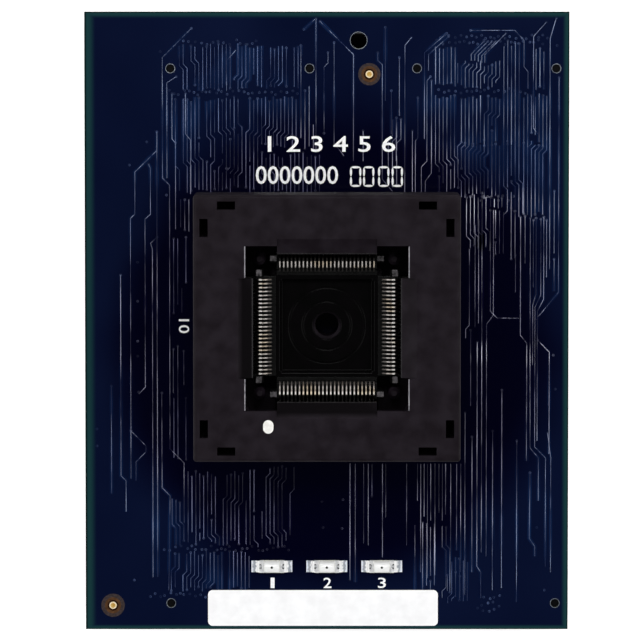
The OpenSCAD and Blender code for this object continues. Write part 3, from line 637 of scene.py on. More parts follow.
def make_lens_epoxy():
    """Clear, slightly clouded casting resin with a dark chip under it."""
    material, shader, place = start_material(
        "clouded_lens_epoxy", Transmission_Weight=0.03, IOR=1.5, Subsurface_Weight=0.6,
        Subsurface_Radius=(1, 1, 1), Subsurface_Scale=0.5 * MM, Sheen_Weight=0.8, Sheen_Roughness=0.4,
    )
    haze = add(material, "TexNoise", {"Vector": place, "Scale": 1 / (LENS_HAZE * MM), "Detail": 2.0})
    resin = add(material, "Mix", {0: haze, MIX_A: "#f6f9f2", MIX_B: "#ffffff"}, data_type="RGBA")
    low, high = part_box("lamp_lens_middle")
    axes = add(material, "SeparateXYZ", {0: place}).outputs
    along = add(material, "Math", {0: axes["Y"], 1: (low.y + high.y) / 2}, operation="SUBTRACT")
    from_chip = add(material, "CombineXYZ", {0: from_lamp_middle(material, axes["X"]), 1: along})
    distance = add(material, "VectorMath", {0: from_chip}, operation="LENGTH")
    clear = add(
        material, "MapRange",
        {"Value": distance, "From Min": LAMP_DOT_CORE * MM, "From Max": LAMP_DOT * MM},
    )
    colour = add(material, "Mix", {0: clear, MIX_A: "#1a1b16", MIX_B: resin}, data_type="RGBA")
    clouding = add(material, "MapRange", {"Value": haze, "To Min": 0.12, "To Max": 0.3})
    feed(material, shader, {"Base Color": colour, "Roughness": clouding})
    return material


# Clouded epoxy: a milky white with one dark dot.
lens_epoxy = make_lens_epoxy()
# Solder fillet with painted light and shade: white at the terminal, dull in the dip, pale at the rim.
lamp_solder = make_lamp_solder()
print("made", lens_epoxy.name, "and", lamp_solder.name)

# %% [markdown]
# Each CAD node keeps its exact shape and takes its finish by the first words of its name. Moulded
# pieces never have knife edges, so they also get a Weld, which joins the loose triangles of the CAD
# mesh, and a small Bevel, which rounds every sharp edge and gives it a thin highlight. Modifiers do
# this without touching the mesh that came from CAD.

# %% Finishes and soft edges for the CAD nodes
FINISHES = {
    "circuit_board": solder_mask,
    "blank_label": label_paper,
    "socket_base": moulded_black,
    "socket_cover": cover_slope_shade,
    "nest_plate": insert_black_painted_shade,
    "contact_carrier": insert_black_painted_shade,
    "lead_comb": post_tops_painted_highlight,
    "contact_tails": tails_tin_and_painted_shade,
    "contact_arms_north": upper_contacts_painted_shade,
    "contact_arms": contacts_painted_light,
    "cover_springs": spring_steel,
    "pin_one_dot": dot_paint,
    "socket_solder_joints": solder,
    "connector_housing": connector_black,
    "connector_terminals": contact_gold,
    "connector_blade": contact_gold,
    "lamp_base": lamp_laminate,
    "lamp_lens": lens_epoxy,
    "lamp_terminals": tin_plate,
    "lamp_solder_joints": lamp_solder,
    "capacitor_bodies": ceramic,
    "capacitor_ends": tin_plate,
    "resistor_bodies": glaze,
    "resistor_ends": tin_plate,
    "memory_chip_body": chip_epoxy,
    "memory_chip_leads": tin_plate,
}
EDGE_RADII = {
    "socket_cover": 0.08,
    "socket_base": 0.06,
    "nest_plate": 0.05,
    "contact_arms": 0.05,
    "lead_comb": 0.03,
    "connector_housing": 0.06,
    "memory_chip_body": 0.08,
    "capacitor_bodies": 0.04,
    "lamp_lens": 0.08,
}
WELD_REACH = 0.002
# Edges that turn by more than this many degrees are rounded.
ROUNDED_FROM = 35


def by_name(table, name):
    """The table's entry whose key starts the node's name, or None."""
    for start, entry in table.items():
        if name.startswith(start):
            return entry
    return None


for name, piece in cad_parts.items():
    piece.data.materials.clear()
    piece.data.materials.append(by_name(FINISHES, name))
    radius = by_name(EDGE_RADII, name)
    if radius:
        weld = piece.modifiers.new("join triangles", "WELD")
        weld.merge_threshold = WELD_REACH * MM
        soften = piece.modifiers.new("moulded edge", "BEVEL")
        soften.width = radius * MM
        soften.segments = 2
        soften.limit_method = "ANGLE"
        soften.angle_limit = math.radians(ROUNDED_FROM)
print("finished", len(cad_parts), "CAD nodes")

# %% [markdown]
# New pieces are made as meshes in place: their objects stay at the origin, like the CAD nodes. Two
# helpers make a mesh, of a curve or of a bmesh, and one gives a mesh its finish and lets it ride on a
# body. Another stamps a small shape many times into one mesh, which is lighter than many objects. The
# last two make shapes that come back often: a round one and a slim bar.

# %% Helpers for new pieces


def put_in_scene(name, data):
    """An object for a mesh, a curve, a lamp or a camera, linked to the scene."""
    shown = bpy.data.objects.new(name, data)
    bpy.context.scene.collection.objects.link(shown)
    return shown


def as_mesh(shown):
    """A mesh of what a curve or text object shows. The object is then removed."""
    bpy.context.view_layer.update()
    solid = shown.evaluated_get(bpy.context.evaluated_depsgraph_get())
    mesh = bpy.data.meshes.new_from_object(solid)
    bpy.data.objects.remove(shown)
    return mesh


def finish_piece(mesh, name, finish, body):
    """Makes an object of a finished mesh, which then moves with a CAD body."""
    mesh.name = name
    mesh.materials.clear()
    mesh.materials.append(finish)
    piece = put_in_scene(name, mesh)
    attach(piece, body)
    print("made", name, "with", len(mesh.polygons), "faces")
    return piece


def to_mesh(shape):
    """A new mesh from a bmesh, with its normals set outward."""
    bmesh.ops.recalc_face_normals(shape, faces=shape.faces)
    mesh = bpy.data.meshes.new("shape")
    shape.to_mesh(mesh)
    shape.free()
    return mesh


def stamp(target, shape, place):
    """Adds a copy of a mesh to a bmesh, moved by a matrix."""
    before = len(target.verts)
    target.from_mesh(shape)
    target.verts.ensure_lookup_table()
    bmesh.ops.transform(target, matrix=place, verts=target.verts[before:])


def spun(profile, steps):
    """A round shape: a closed profile of (radius, height) in millimetres, turned about Z."""
    shape = bmesh.new()
    corners = [shape.verts.new((radius * MM, 0, height * MM)) for radius, height in profile]
    for first, second in zip(corners, corners[1:] + corners[:1]):
        shape.edges.new((first, second))
    bmesh.ops.spin(
        shape, geom=shape.verts[:] + shape.edges[:], axis=(0, 0, 1), cent=(0, 0, 0),
        angle=math.tau, steps=steps, use_merge=True,
    )
    bmesh.ops.remove_doubles(shape, verts=shape.verts, dist=0.0005 * MM)
    return to_mesh(shape)


def slim_bar(width, length, depth, rounding, segments):
    """A bar with bevelled edges. All sizes are millimetres."""
    shape = bmesh.new()
    bmesh.ops.create_cube(shape, size=1)
    bmesh.ops.scale(shape, vec=(width * MM, length * MM, depth * MM), verts=shape.verts)
    bmesh.ops.bevel(
        shape, geom=shape.edges[:], offset=rounding * MM, affect="EDGES", segments=segments,
        profile=0.5, material=-1,
    )
    return to_mesh(shape)


print("piece helpers ready")

# %% [markdown]
# Places on the board were read off the photograph, where 7.725 pixels are one millimetre. The next
# function turns such a place into metres on the board, so every track and mark below lies where the
# picture shows it.

# %% From picture to board
PIXELS_PER_MM = 7.725
BOARD_MIDDLE = (326.8, 320.4)


def spot(across, down):
    """Board place, in metres, of a pixel of the photograph."""
    return (
        (across - BOARD_MIDDLE[0]) / PIXELS_PER_MM * MM,
        (BOARD_MIDDLE[1] - down) / PIXELS_PER_MM * MM,
    )


print("picture corner lies at", [round(value / MM, 1) for value in spot(0, 0)], "mm")

# %% [markdown]
# Copper tracks run mostly up and down the board. They could be an image on the mask, but a raised
# track catches the light from every side and stays sharp close up. The long ones that catch the eye
# are listed: first the bent ones, as places from end to end, and then the straight ones, as a place
# across with an upper and a lower end. All are pixels of the photograph.

# %% Listed tracks
BENT_TRACKS = [
    [(192, 28), (163, 57), (163, 177), (170, 184), (170, 448), (184, 462), (184, 522)],
    [(177, 76), (167.5, 82), (167.5, 177)],
    [(172.5, 93), (172.5, 138), (176, 142), (176, 228)],
    [(186, 93), (186, 133), (191, 139), (191, 193)],
    [(157, 150), (135.5, 171), (135.5, 213), (131, 217), (131, 478)],
    [(131, 430), (146, 445), (146, 451), (136, 461), (136, 480)],
    [(149, 163), (151, 167), (151, 213), (145.5, 218), (145.5, 386), (139, 393)],
    [(121, 274), (121, 475), (126, 480), (126, 511)],
    [(157.5, 236), (151, 242), (152.8, 248), (152.8, 577)],
    [(162, 392), (162, 487), (170, 495), (168.5, 590)],
    [(236, 50), (227, 60), (227, 90)],
    [(304, 29), (315, 19)],
    [(320, 21), (353.3, 54), (353.3, 160)],
    [(334, 42), (334, 142), (344, 155)],
    [(377.5, 52), (377.5, 60), (382, 64), (382, 178), (392, 190)],
    [(411, 37), (404.5, 45), (404.5, 193)],
    [(417.5, 97), (417.5, 137), (415, 140), (415, 192)],
    [(446, 33), (424, 52), (424, 138)],
    [(448, 36), (428, 54), (428, 70)],
    [(430, 76), (426.5, 80), (426.5, 160), (421, 166), (421, 192)],
    [(431, 80), (431, 172), (425, 180), (425, 192)],
    [(495, 41), (481, 55), (481, 62)],
    [(491, 41), (477.5, 54.5), (477.5, 61)],
    [(487, 41), (474, 54), (474, 60)],
    [(483, 41), (470.5, 53.5), (470.5, 60)],
    [(470, 30), (514, 30), (523, 40), (523, 66), (527, 71), (527, 88)],
    [(505, 33), (494, 44), (484, 54), (484, 62)],
    [(545, 22), (532.5, 36), (532.5, 127), (537, 133)],
    [(555, 18), (549, 38), (549, 268)],
    [(558, 77), (558, 291), (537.5, 316)],
    [(469, 248), (469, 324), (465.4, 328), (465.4, 337)],
    [(477, 341), (477, 566), (481, 572), (481, 598)],
    [(493, 209), (493, 314), (486.3, 323), (486.3, 556)],
    [(490, 209), (490, 310), (497, 317), (519, 317)],
    [(520, 216), (520, 334), (526.4, 342), (526.4, 460)],
    [(529.7, 217), (529.7, 300), (530, 447), (538.4, 457), (538.4, 500)],
    [(535.5, 217), (535.5, 293), (532.3, 304), (532.3, 364)],
    [(540.3, 218), (540.3, 294), (534.6, 306), (534.6, 446), (545.5, 457), (545.5, 566)],
    [(543.2, 216), (543.2, 298), (537, 310), (537, 440)],
    [(537.4, 339), (549, 351), (549, 453)],
    [(547.5, 432), (550.8, 457), (550.8, 572)],
    [(530, 472), (529.5, 538), (535, 546), (535, 556)],
]
STRAIGHT_TRACKS = [
    (157.5, 131, 577), (111.5, 385, 493), (173.5, 348, 392), (178, 345, 438), (184, 350, 384),
    (301, 45, 137), (316, 18, 150), (363, 130, 160), (385, 27, 100), (391, 90, 133), (396, 117, 160),
    (399, 57, 115), (412, 130, 192), (470.5, 329, 405), (474.7, 224, 326), (478.2, 220, 322),
    (481.5, 192, 552), (515, 254, 291), (501.7, 389, 588), (492.6, 430, 590), (516.8, 440, 602),
    (472, 436, 572), (465, 412, 595), (350, 463, 580), (355.3, 463, 582), (363.7, 463, 543),
    (368.3, 463, 545), (382.5, 463, 557), (385.8, 463, 517), (406.7, 463, 545), (417.5, 463, 500),
    (420.8, 463, 572), (424.2, 463, 516), (427.5, 463, 578), (430.8, 463, 520), (435, 463, 575),
    (439, 463, 512), (442.4, 463, 520), (445.6, 463, 514), (450.8, 463, 550), (456.7, 463, 550),
    (460.8, 463, 572), (447.5, 575, 591), (455.8, 572, 597), (460.2, 576, 598),
    (490, 196, 206), (493.8, 198, 206), (497.6, 195, 207), (501.4, 197, 206), (524.5, 215, 262),
    (532.8, 219, 286), (546, 219, 276), (553.5, 190, 252), (553.5, 258, 290),
]
laid_routes = list(BENT_TRACKS)
for across, upper, lower in STRAIGHT_TRACKS:
    laid_routes.append([(across, upper), (across, lower)])
print("laid", len(laid_routes), "single tracks")

# %% [markdown]
# Between the single tracks lie crowded fields, where tracks run side by side in small groups that
# step sideways together at 45 degrees and break off at plated holes called vias. Nobody would lay
# hundreds of them by hand, so a function fills a field, given its left, right, upper and lower side,
# the spacing, the share of places in use and the most steps of a group. Its random generator is
# seeded, so the fields look routed but never change.

# %% Crowded fields
chance = random.Random(41)
BRIGHT_FIELDS = [
    (305, 314, 84, 150, 4.2, 0.95, 0),
    (320, 332, 50, 136, 4.0, 0.95, 1),
    (388, 402, 118, 190, 4.2, 0.9, 1),
    (435, 455, 44, 88, 3.9, 0.96, 2),
    (435, 455, 92, 192, 3.8, 0.97, 3),
    (457, 500, 60, 88, 3.8, 0.96, 2),
    (457, 501, 93, 147, 3.8, 0.97, 2),
    (503, 521, 40, 147, 3.8, 0.96, 3),
    (523, 546, 92, 147, 3.8, 0.97, 1),
    (535, 546, 46, 90, 3.9, 0.95, 0),
    (466, 488, 192, 250, 3.9, 0.96, 2),
    (495, 518, 206, 258, 3.9, 0.9, 2),
    (177, 190, 198, 232, 4.1, 0.95, 1),
    (415, 447, 522, 598, 3.9, 0.9, 2),
]
DIM_FIELDS = [
    (176, 264, 43, 90, 3.9, 0.96, 3),
    (267, 299, 43, 90, 3.9, 0.96, 2),
    (176, 262, 95, 192, 3.9, 0.96, 4),
    (262, 300, 95, 148, 3.8, 0.96, 2),
    (258, 332, 151, 194, 4.1, 0.9, 1),
    (457, 501, 139, 198, 3.8, 0.97, 3),
    (503, 521, 139, 216, 3.8, 0.97, 2),
    (523, 546, 139, 216, 3.8, 0.97, 2),
    (174, 190, 236, 312, 4.1, 0.9, 1),
    (174, 190, 392, 462, 4.0, 0.9, 1),
    (188, 246, 470, 546, 3.9, 0.95, 4),
    (172, 183, 496, 546, 3.9, 0.95, 1),
    (246, 297, 464, 548, 4.0, 0.9, 4),
    (171, 250, 550, 592, 3.9, 0.95, 2),
    (372, 380, 463, 500, 4.0, 0.6, 0),
    (448, 470, 556, 606, 3.9, 0.85, 1),
]
# Fewest and most tracks of a group, and then lengths in pixels.
GROUP_SIZES = (6, 11)
BEND_ROOM = 20
RAGGED = 6
SHORTEST = 25
LONGEST = 170
LEAST_BREAK = 4
# Each neighbour turns later by this share of the spacing, so a group keeps its distances in a step.
TURN_DELAY = 0.41


def stepped(base, start, end, turns):
    """A route from start to end that steps sideways at each turn on its way."""
    here = base + sum(step for turn, step in turns if turn <= start)
    route = [(here, start)]
    for turn, step in turns:
        if start < turn < end - abs(step):
            route += [(here, turn), (here + step, turn + abs(step))]
            here += step
    route.append((here, end))
    return route


def field(left, right, upper, lower, spacing, share, steps):
    """Tracks side by side, in groups that step sideways together, broken here and there."""
    routes = []
    across = left
    while across < right:
        group = chance.randint(*GROUP_SIZES)
        bends = sorted(chance.uniform(upper, lower) for bend in range(chance.randint(0, steps)))
        earlier = [upper - 2 * BEND_ROOM] + bends
        bends = [bend for before, bend in zip(earlier, bends) if bend - before > BEND_ROOM]
        first_side = chance.choice((-1, 1))
        room = spacing if bends else 0
        for place in range(group):
            base = across + place * spacing + (room if first_side < 0 else 0)
            turns = []
            side = first_side
            for bend in bends:
                delay = (place if side < 0 else group - 1 - place) * spacing * TURN_DELAY
                turns.append((bend + delay, side * spacing))
                side = -side
            start = upper + chance.uniform(0, RAGGED)
            while start < lower - 2 * RAGGED and base < right:
                end = min(start + chance.uniform(SHORTEST, LONGEST), lower - chance.uniform(0, RAGGED))
                if chance.random() < share:
                    routes.append(stepped(base, start, end, turns))
                start = end + chance.uniform(LEAST_BREAK, RAGGED)
        across += group * spacing + room
    return routes


bright_routes = [route for sides in BRIGHT_FIELDS for route in field(*sides)]
dim_routes = [route for sides in DIM_FIELDS for route in field(*sides)]
field_routes = bright_routes + dim_routes
print("filled", len(BRIGHT_FIELDS + DIM_FIELDS), "fields with", len(field_routes), "tracks")

# %% [markdown]
# A track is one low profile swept along its route, which is what a Blender curve with a bevel object
# does. The curve is then made a mesh. Both profiles below are a width in millimetres, the share of it
# that is level, and a height. Each track gets two sweeps: a wide, very thin one, shaded flat, for the
# gap in the copper plane, and a narrow one that stands proud for the track itself. Its sides slope, as
# lacquer does over a track, so they catch the lamps at the left and right as thin bright lines. The
# radius of the curve's points differs from track to track, so some are finer than others.

# %% Sweep the tracks
GAP = (0.46, 0.96, 0.006)
TRACK = (0.105, 0.35, 0.032)
# What lies on the board starts this far below its surface, so no slit shows under it.
SUNK = 0.01
# The finest radius, how far it can grow, and by how much it differs from one track to the next.
FINEST = 0.8
FINENESS_SPREAD = 0.45
FINENESS_STEP = 0.37


def swept(routes, width, crest_share, height, level, mirror=1):
    """A mesh of strips along routes of picture places, standing height above level."""
    outline = bpy.data.curves.new("strip outline", "CURVE")
    outline.dimensions = "2D"
    edge = outline.splines.new("POLY")
    edge.points.add(3)
    half = width / 2 * MM
    crest = half * crest_share
    corners = ((-half, -SUNK * MM), (half, -SUNK * MM), (crest, height * MM), (-crest, height * MM))
    for point, (across, up) in zip(edge.points, corners):
        point.co = (across, up, 0, 1)
    edge.use_cyclic_u = True
    outline_object = put_in_scene("strip outline", outline)
    path = bpy.data.curves.new("strip path", "CURVE")
    path.dimensions = "3D"
    path.twist_mode = "Z_UP"
    path.bevel_mode = "OBJECT"
    path.bevel_object = outline_object
    path.use_fill_caps = True
    for number, route in enumerate(routes, start=1):
        line = path.splines.new("POLY")
        line.points.add(len(route) - 1)
        for point, place in zip(line.points, route):
            across, along = spot(*place)
            point.co = (across * mirror, along, level, 1)
            point.radius = FINEST + FINENESS_SPREAD * (number * FINENESS_STEP % 1)
    mesh = as_mesh(put_in_scene("strip path", path))
    bpy.data.objects.remove(outline_object)
    return mesh


gaps = swept(laid_routes + field_routes, *GAP, board_high.z)
gaps.shade_flat()
bright_tracks = swept(laid_routes + bright_routes, *TRACK, board_high.z)
dim_tracks = swept(dim_routes, *TRACK, board_high.z)
finish_piece(gaps, "plane_gaps_top", clear_laminate, "card")
finish_piece(bright_tracks, "copper_tracks_top", covered_copper, "card")
finish_piece(dim_tracks, "copper_fields_top", deep_copper, "card")

# %% [markdown]
# A via is a plated hole that takes a track to another layer. Under mask it shows as a small raised
# ring at a track's end. Vias follow no grid, so an Array modifier is no help. One ring is turned from
# its section with Spin and then stamped at the ends of every third track of the fields, at the top of
# each single track that starts clear of the socket, in the ragged rows where two fields meet, and
# where vias stand alone.

# %% Vias
VIA_RING = [(0.06, -SUNK), (0.18, -SUNK), (0.15, 0.02), (0.09, 0.02)]
VIA_SIDES = 10
# Tracks that start at this pixel row come out from under the socket.
SOCKET_FOOT = 463
LONE_VIAS = [
    (322, 501), (323, 527), (342, 528), (343, 499), (161, 51), (147.5, 141), (130, 164), (167, 194),
    (138, 261), (138, 300), (138, 340), (138, 355), (139, 391), (97, 428), (97, 445), (134, 580),
    (545, 590), (556, 45), (555, 388), (553, 354), (537, 527), (351, 500),
]
# Left end, right end and level of each ragged row of vias, in pixels.
VIA_ROWS = [
    (170, 298, 92), (184, 262, 42), (438, 526, 90), (436, 546, 42), (440, 548, 36), (466, 520, 197),
    (164, 292, 548), (150, 246, 595), (484, 504, 598), (482, 502, 604), (478, 498, 610),
]
ROW_RAGGED = 2.5
ROW_SPACING = (3.5, 7)
row_vias = []
for left, right, level in VIA_ROWS:
    across = left
    while across < right:
        row_vias.append((across, level + chance.uniform(-ROW_RAGGED, ROW_RAGGED)))
        across += chance.uniform(*ROW_SPACING)


def via_rings(places, level, facing, mirror):
    """Rings at many picture places."""
    ring = spun(VIA_RING, VIA_SIDES)
    shape = bmesh.new()
    for place in places:
        across, along = spot(*place)
        shift = Matrix.Translation((across * mirror, along, level))
        stamp(shape, ring, shift @ Matrix.Diagonal((1, 1, facing, 1)))
    bpy.data.meshes.remove(ring)
    return to_mesh(shape)


def both_ends(routes):
    """The first and the last place of every route."""
    return [route[0] for route in routes] + [route[-1] for route in routes]


clear_tops = [route[0] for route in laid_routes if route[0][1] != SOCKET_FOOT]
via_places = both_ends(field_routes[::3]) + clear_tops + row_vias + LONE_VIAS
top_vias = via_rings(via_places, board_high.z, 1, 1)
finish_piece(top_vias, "via_rings_top", covered_via, "card")
print("stamped", len(via_places), "vias on top")

# %% [markdown]
# The underside has tracks and vias of its own. It could have a layout of its own too, but it is seen
# less, so it takes every second field of the top, mirrored left to right and turned to face down.

# %% Underside tracks
bottom_routes = [route for sides in (BRIGHT_FIELDS + DIM_FIELDS)[::2] for route in field(*sides)]
face_down = Matrix.Translation((0, 0, board_low.z)) @ Matrix.Diagonal((1, 1, -1, 1))
for name, profile, finish in (
    ("plane_gaps_bottom", GAP, clear_laminate), ("copper_tracks_bottom", TRACK, covered_copper),
):
    strips = swept(bottom_routes, *profile, 0, mirror=-1)
    strips.transform(face_down)
    strips.flip_normals()
    if profile == GAP:
        strips.shade_flat()
    finish_piece(strips, name, finish, "card")
bottom_vias = via_rings(both_ends(bottom_routes) + LONE_VIAS, board_low.z, -1, -1)
finish_piece(bottom_vias, "via_rings_bottom", covered_via, "card")

# %% [markdown]
# Holes for the connector pegs and for the locating pin have bright plated rings. The ring's section
# is a low rounded step, turned with Spin. A flat disc would be simpler, but the step is what shines.
# The rings sit on the board's top, round holes that the CAD model has drilled.

# %% Plated rings
PEG_RING = [(0.54, -0.02), (0.64, -0.02), (0.62, 0.035), (0.56, 0.035)]
PIN_RING = [(1.055, -0.02), (1.15, -0.02), (1.13, 0.035), (1.075, 0.035)]
PEG_SIDES = 24
PIN_SIDES = 40
PEG_PITCH = 17.95
PIN_HOLE = (4.1, 36.3)
rings = bmesh.new()
peg_ring = spun(PEG_RING, PEG_SIDES)
for housing in ("upper_left", "upper_right", "lower_left", "lower_right"):
    low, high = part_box("connector_housing_" + housing)
    middle = (low + high) / 2
    for end in (-1, 1):
        place = (middle.x + end * PEG_PITCH / 2 * MM, middle.y, board_high.z)
        stamp(rings, peg_ring, Matrix.Translation(place))
pin_ring = spun(PIN_RING, PIN_SIDES)
for level, facing in ((board_high.z, 1), (board_low.z, -1)):
    place = Matrix.Translation((PIN_HOLE[0] * MM, PIN_HOLE[1] * MM, level))
    stamp(rings, pin_ring, place @ Matrix.Diagonal((1, 1, facing, 1)))
finish_piece(to_mesh(rings), "plated_rings", tinned_copper, "card")

# %% [markdown]
# Two aiming dots, called fiducials, guide the machine that places the parts. Each is a gold dot with a
# bright rounded edge in the middle of a round opening in the mask. Close to the dot the laminate was
# etched deep and looks dark. Farther out it is brown, and where the mask runs thin at the opening's
# border it is greyer. Each of the five rings is turned with Spin.

# %% Fiducials
# The rounded edge of the dot is paler than the dot: a painted highlight of both lamps.
bright_gold = make_finish("rounded_gold_edge", "#f4d9a8", "#fff0d4", 0.4, 0.2, 0.004, 0.3, Metallic=0.2)
# Etched laminate is dark brown and rough.
etched_laminate = make_finish(
    "etched_glass_laminate", "#1c0c02", "#2e1606", 0.3, 0.2, 0.01, 0.6, Specular_IOR_Level=0.05
)
# Mask that runs thin over laminate is a greyish brown.
thin_mask = make_finish(
    "thin_mask_on_laminate", "#2b2424", "#3d3232", 0.3, 0.2, 0.01, 0.5, Specular_IOR_Level=0.1
)
# The pixel of each middle, and the radius of the opening in millimetres.
FIDUCIALS = [((369.1, 73.6), 1.46), ((112.6, 605.4), 1.54)]
# Inner and outer radius and height in millimetres. The border ends where the opening does.
FIDUCIAL_RINGS = [
    ("fiducial_dots", 0, 0.36, 0.04, fiducial_gold, "gold_contact"),
    ("fiducial_edges", 0.32, 0.5, 0.045, bright_gold, "gold_contact"),
    ("fiducial_moats", 0.45, 0.74, 0.016, etched_laminate, "lamp_laminate"),
    ("fiducial_openings", 0.7, 1.08, 0.014, bare_laminate, "lamp_laminate"),
    ("fiducial_borders", 1.02, None, 0.012, thin_mask, "lamp_laminate"),
]
RIM_SLOPE = 0.04
FIDUCIAL_SIDES = 40
for name, inner, outer, height, finish, slot in FIDUCIAL_RINGS:
    shape = bmesh.new()
    for place, opening in FIDUCIALS:
        rim = outer or opening
        section = [(inner, -SUNK), (rim, -SUNK), (rim - RIM_SLOPE, height), (inner, height)]
        ring = spun(section, FIDUCIAL_SIDES)
        stamp(shape, ring, Matrix.Translation((*spot(*place), board_high.z)))
        bpy.data.meshes.remove(ring)
    finish_piece(to_mesh(shape), name, finish, "card")

# %% [markdown]
# Each end of a lamp has a half-round notch, where solder has climbed up the plating. A ball would
# bulge too far, so a bead with a domed top is turned with Spin and stamped into the six notches.

# %% Solder beads at the lamps
BEAD = [(0, -0.4), (0.2, -0.4), (0.2, -0.14), (0.15, -0.06), (0.08, -0.02), (0, -0.01)]
BEAD_SIDES = 16
BEAD_INSET = 0.16
BEAD_DROP = 0.06
beads = bmesh.new()
bead = spun(BEAD, BEAD_SIDES)
for lamp in ("left", "middle", "right"):
    low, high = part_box("lamp_terminals_" + lamp)
    for x in (low.x + BEAD_INSET * MM, high.x - BEAD_INSET * MM):
        stamp(beads, bead, Matrix.Translation((x, (low.y + high.y) / 2, high.z - BEAD_DROP * MM)))
finish_piece(to_mesh(beads), "lamp_solder_beads", solder, "card")

# %% [markdown]
# White ink is printed on the mask. The numbers are plain ones, set as Blender text, made a mesh and
# fitted to the box that the print fills in the photograph. The last four are drawn the way a
# seven-segment display does, from bars with bevelled ends, because no built-in letters look so.

# %% Printed numbers
INK_THICKNESS = 0.045
INK_SUNK = 0.005
# Shares of the letters' size, before they are fitted to their box.
STROKE_GROWTH = 0.008
LETTER_DEPTH = 0.01
# Numbers, their box of picture places (left, top, right, bottom) and their turn in degrees.
PRINT_RUNS = [
    ("1 2 3 4 5 6", (268, 135, 395, 151), 0),
    ("0000000", (256, 165, 338, 183), 0),
    ("01", (179, 318, 189.5, 332), 90),
    ("1", (270.5, 577.5, 274.5, 588), 0),
    ("2", (323.5, 577.5, 331.5, 588), 0),
    ("3", (378, 577.5, 386, 588), 0),
]


def printed(words, box, turn):
    """A mesh of words that fills a box of picture places: left, top, right, bottom."""
    letters = bpy.data.curves.new("letters", "FONT")
    letters.body = words
    letters.size = 1
    letters.offset = STROKE_GROWTH
    letters.extrude = LETTER_DEPTH
    letters.resolution_u = 3
    mesh = as_mesh(put_in_scene("letters", letters))
    mesh.transform(Matrix.Rotation(math.radians(turn), 4, "Z"))
    left, top = spot(box[0], box[1])
    right, bottom = spot(box[2], box[3])
    ink_levels = (board_high.z - INK_SUNK * MM, board_high.z + INK_THICKNESS * MM)
    for axis, goal in enumerate(((left, right), (bottom, top), ink_levels)):
        values = [vertex.co[axis] for vertex in mesh.vertices]
        least = min(values)
        factor = (goal[1] - goal[0]) / (max(values) - least)
        for vertex in mesh.vertices:
            vertex.co[axis] = goal[0] + (vertex.co[axis] - least) * factor
    return mesh


ink = bmesh.new()
for words, box, turn in PRINT_RUNS:
    mesh = printed(words, box, turn)
    ink.from_mesh(mesh)
    bpy.data.meshes.remove(mesh)
print("set", len(PRINT_RUNS), "runs of numbers")

# %% [markdown]
# A bar of a seven-segment number is a unit cube whose upright edges are bevelled, which gives it
# pointed ends when it is stretched. Six bars make a zero.

# %% Seven-segment zeros
BAR_LENGTH = 1.1
BAR_WIDTH = 0.28
BAR_LIFT = 0.02
POINTED_SHARE = 0.3
# Each bar of a zero: places right and up of its middle in millimetres, and a turn in degrees.
ZERO_BARS = [
    (0, 1.2, 0), (0, -1.2, 0), (-0.6, 0.6, 90), (0.6, 0.6, 90), (-0.6, -0.6, 90), (0.6, -0.6, 90),
]
ZERO_COLUMNS = (355.5, 368.5, 383.5, 397)
ZERO_ROW = 175.5
bar = bmesh.new()
bmesh.ops.create_cube(bar, size=1)
upright_edges = [edge for edge in bar.edges if abs((edge.verts[0].co - edge.verts[1].co).z) > 0.5]
bmesh.ops.bevel(
    bar, geom=upright_edges, offset=POINTED_SHARE, affect="EDGES", segments=1, profile=0.5, material=-1
)
bar_mesh = to_mesh(bar)
bar_size = Matrix.Diagonal((BAR_LENGTH * MM, BAR_WIDTH * MM, INK_THICKNESS * MM, 1))
for column in ZERO_COLUMNS:
    middle = Matrix.Translation((*spot(column, ZERO_ROW), board_high.z + BAR_LIFT * MM))
    for right, up, turn in ZERO_BARS:
        place = Matrix.Translation((right * MM, up * MM, 0))
        turned = Matrix.Rotation(math.radians(turn), 4, "Z")
        stamp(ink, bar_mesh, middle @ place @ turned @ bar_size)
bpy.data.meshes.remove(bar_mesh)
finish_piece(to_mesh(ink), "printed_numbers", screen_ink, "card")

# %% [markdown]
# The outer walls of the four corner pockets, along the long edges of the cover's opening, carry painted
# highlights: thin pale lines. A brighter material there would shine over the whole wall, so each line
# is a slim bar with bevelled edges, sunk a little into the wall.

# %% Painted highlights on pocket edges
# A pale grey that stands in for the lamps' reflection: a painted highlight.
pocket_edge_highlight = make_finish(
    "plastic_edge_painted_highlight", "#7d7b82", "#b4b2b8", 0.8, 0.1, 0.003, 0.35, Specular_IOR_Level=0.4
)
POCKET_WALL = 10.5
POCKET_INNER = 6.4
EDGE_WIDTH = 0.14
EDGE_DEPTH = 0.3
EDGE_SUNK = 0.02
EDGE_DROP = 0.12
EDGE_END_GAP = 0.1
EDGE_ROUNDING = 0.04
cover_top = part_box("socket_cover")[1].z
edge_length = POCKET_WALL - POCKET_INNER - EDGE_END_GAP
edge_bar = slim_bar(EDGE_WIDTH + EDGE_SUNK, edge_length, EDGE_DEPTH, EDGE_ROUNDING, 2)
edges = bmesh.new()
for left_right in (-1, 1):
    for up_down in (-1, 1):
        middle = (
            left_right * (POCKET_WALL - EDGE_WIDTH / 2 + EDGE_SUNK / 2) * MM,
            up_down * (POCKET_WALL + POCKET_INNER) / 2 * MM,
            cover_top - (EDGE_DEPTH / 2 + EDGE_DROP) * MM,
        )
        stamp(edges, edge_bar, Matrix.Translation(middle))
bpy.data.meshes.remove(edge_bar)
finish_piece(to_mesh(edges), "pocket_edges_painted_highlight", pocket_edge_highlight, "cover")

# %% [markdown]
# Chips and fingers also wear the edge where each slope meets the opening. It shows as a thin grey line.
# One narrow strip lies on the slope, tilted as the slope is, and is stamped on all four sides. It is
# widest at the left, where most chips are lifted out, and narrowest below.

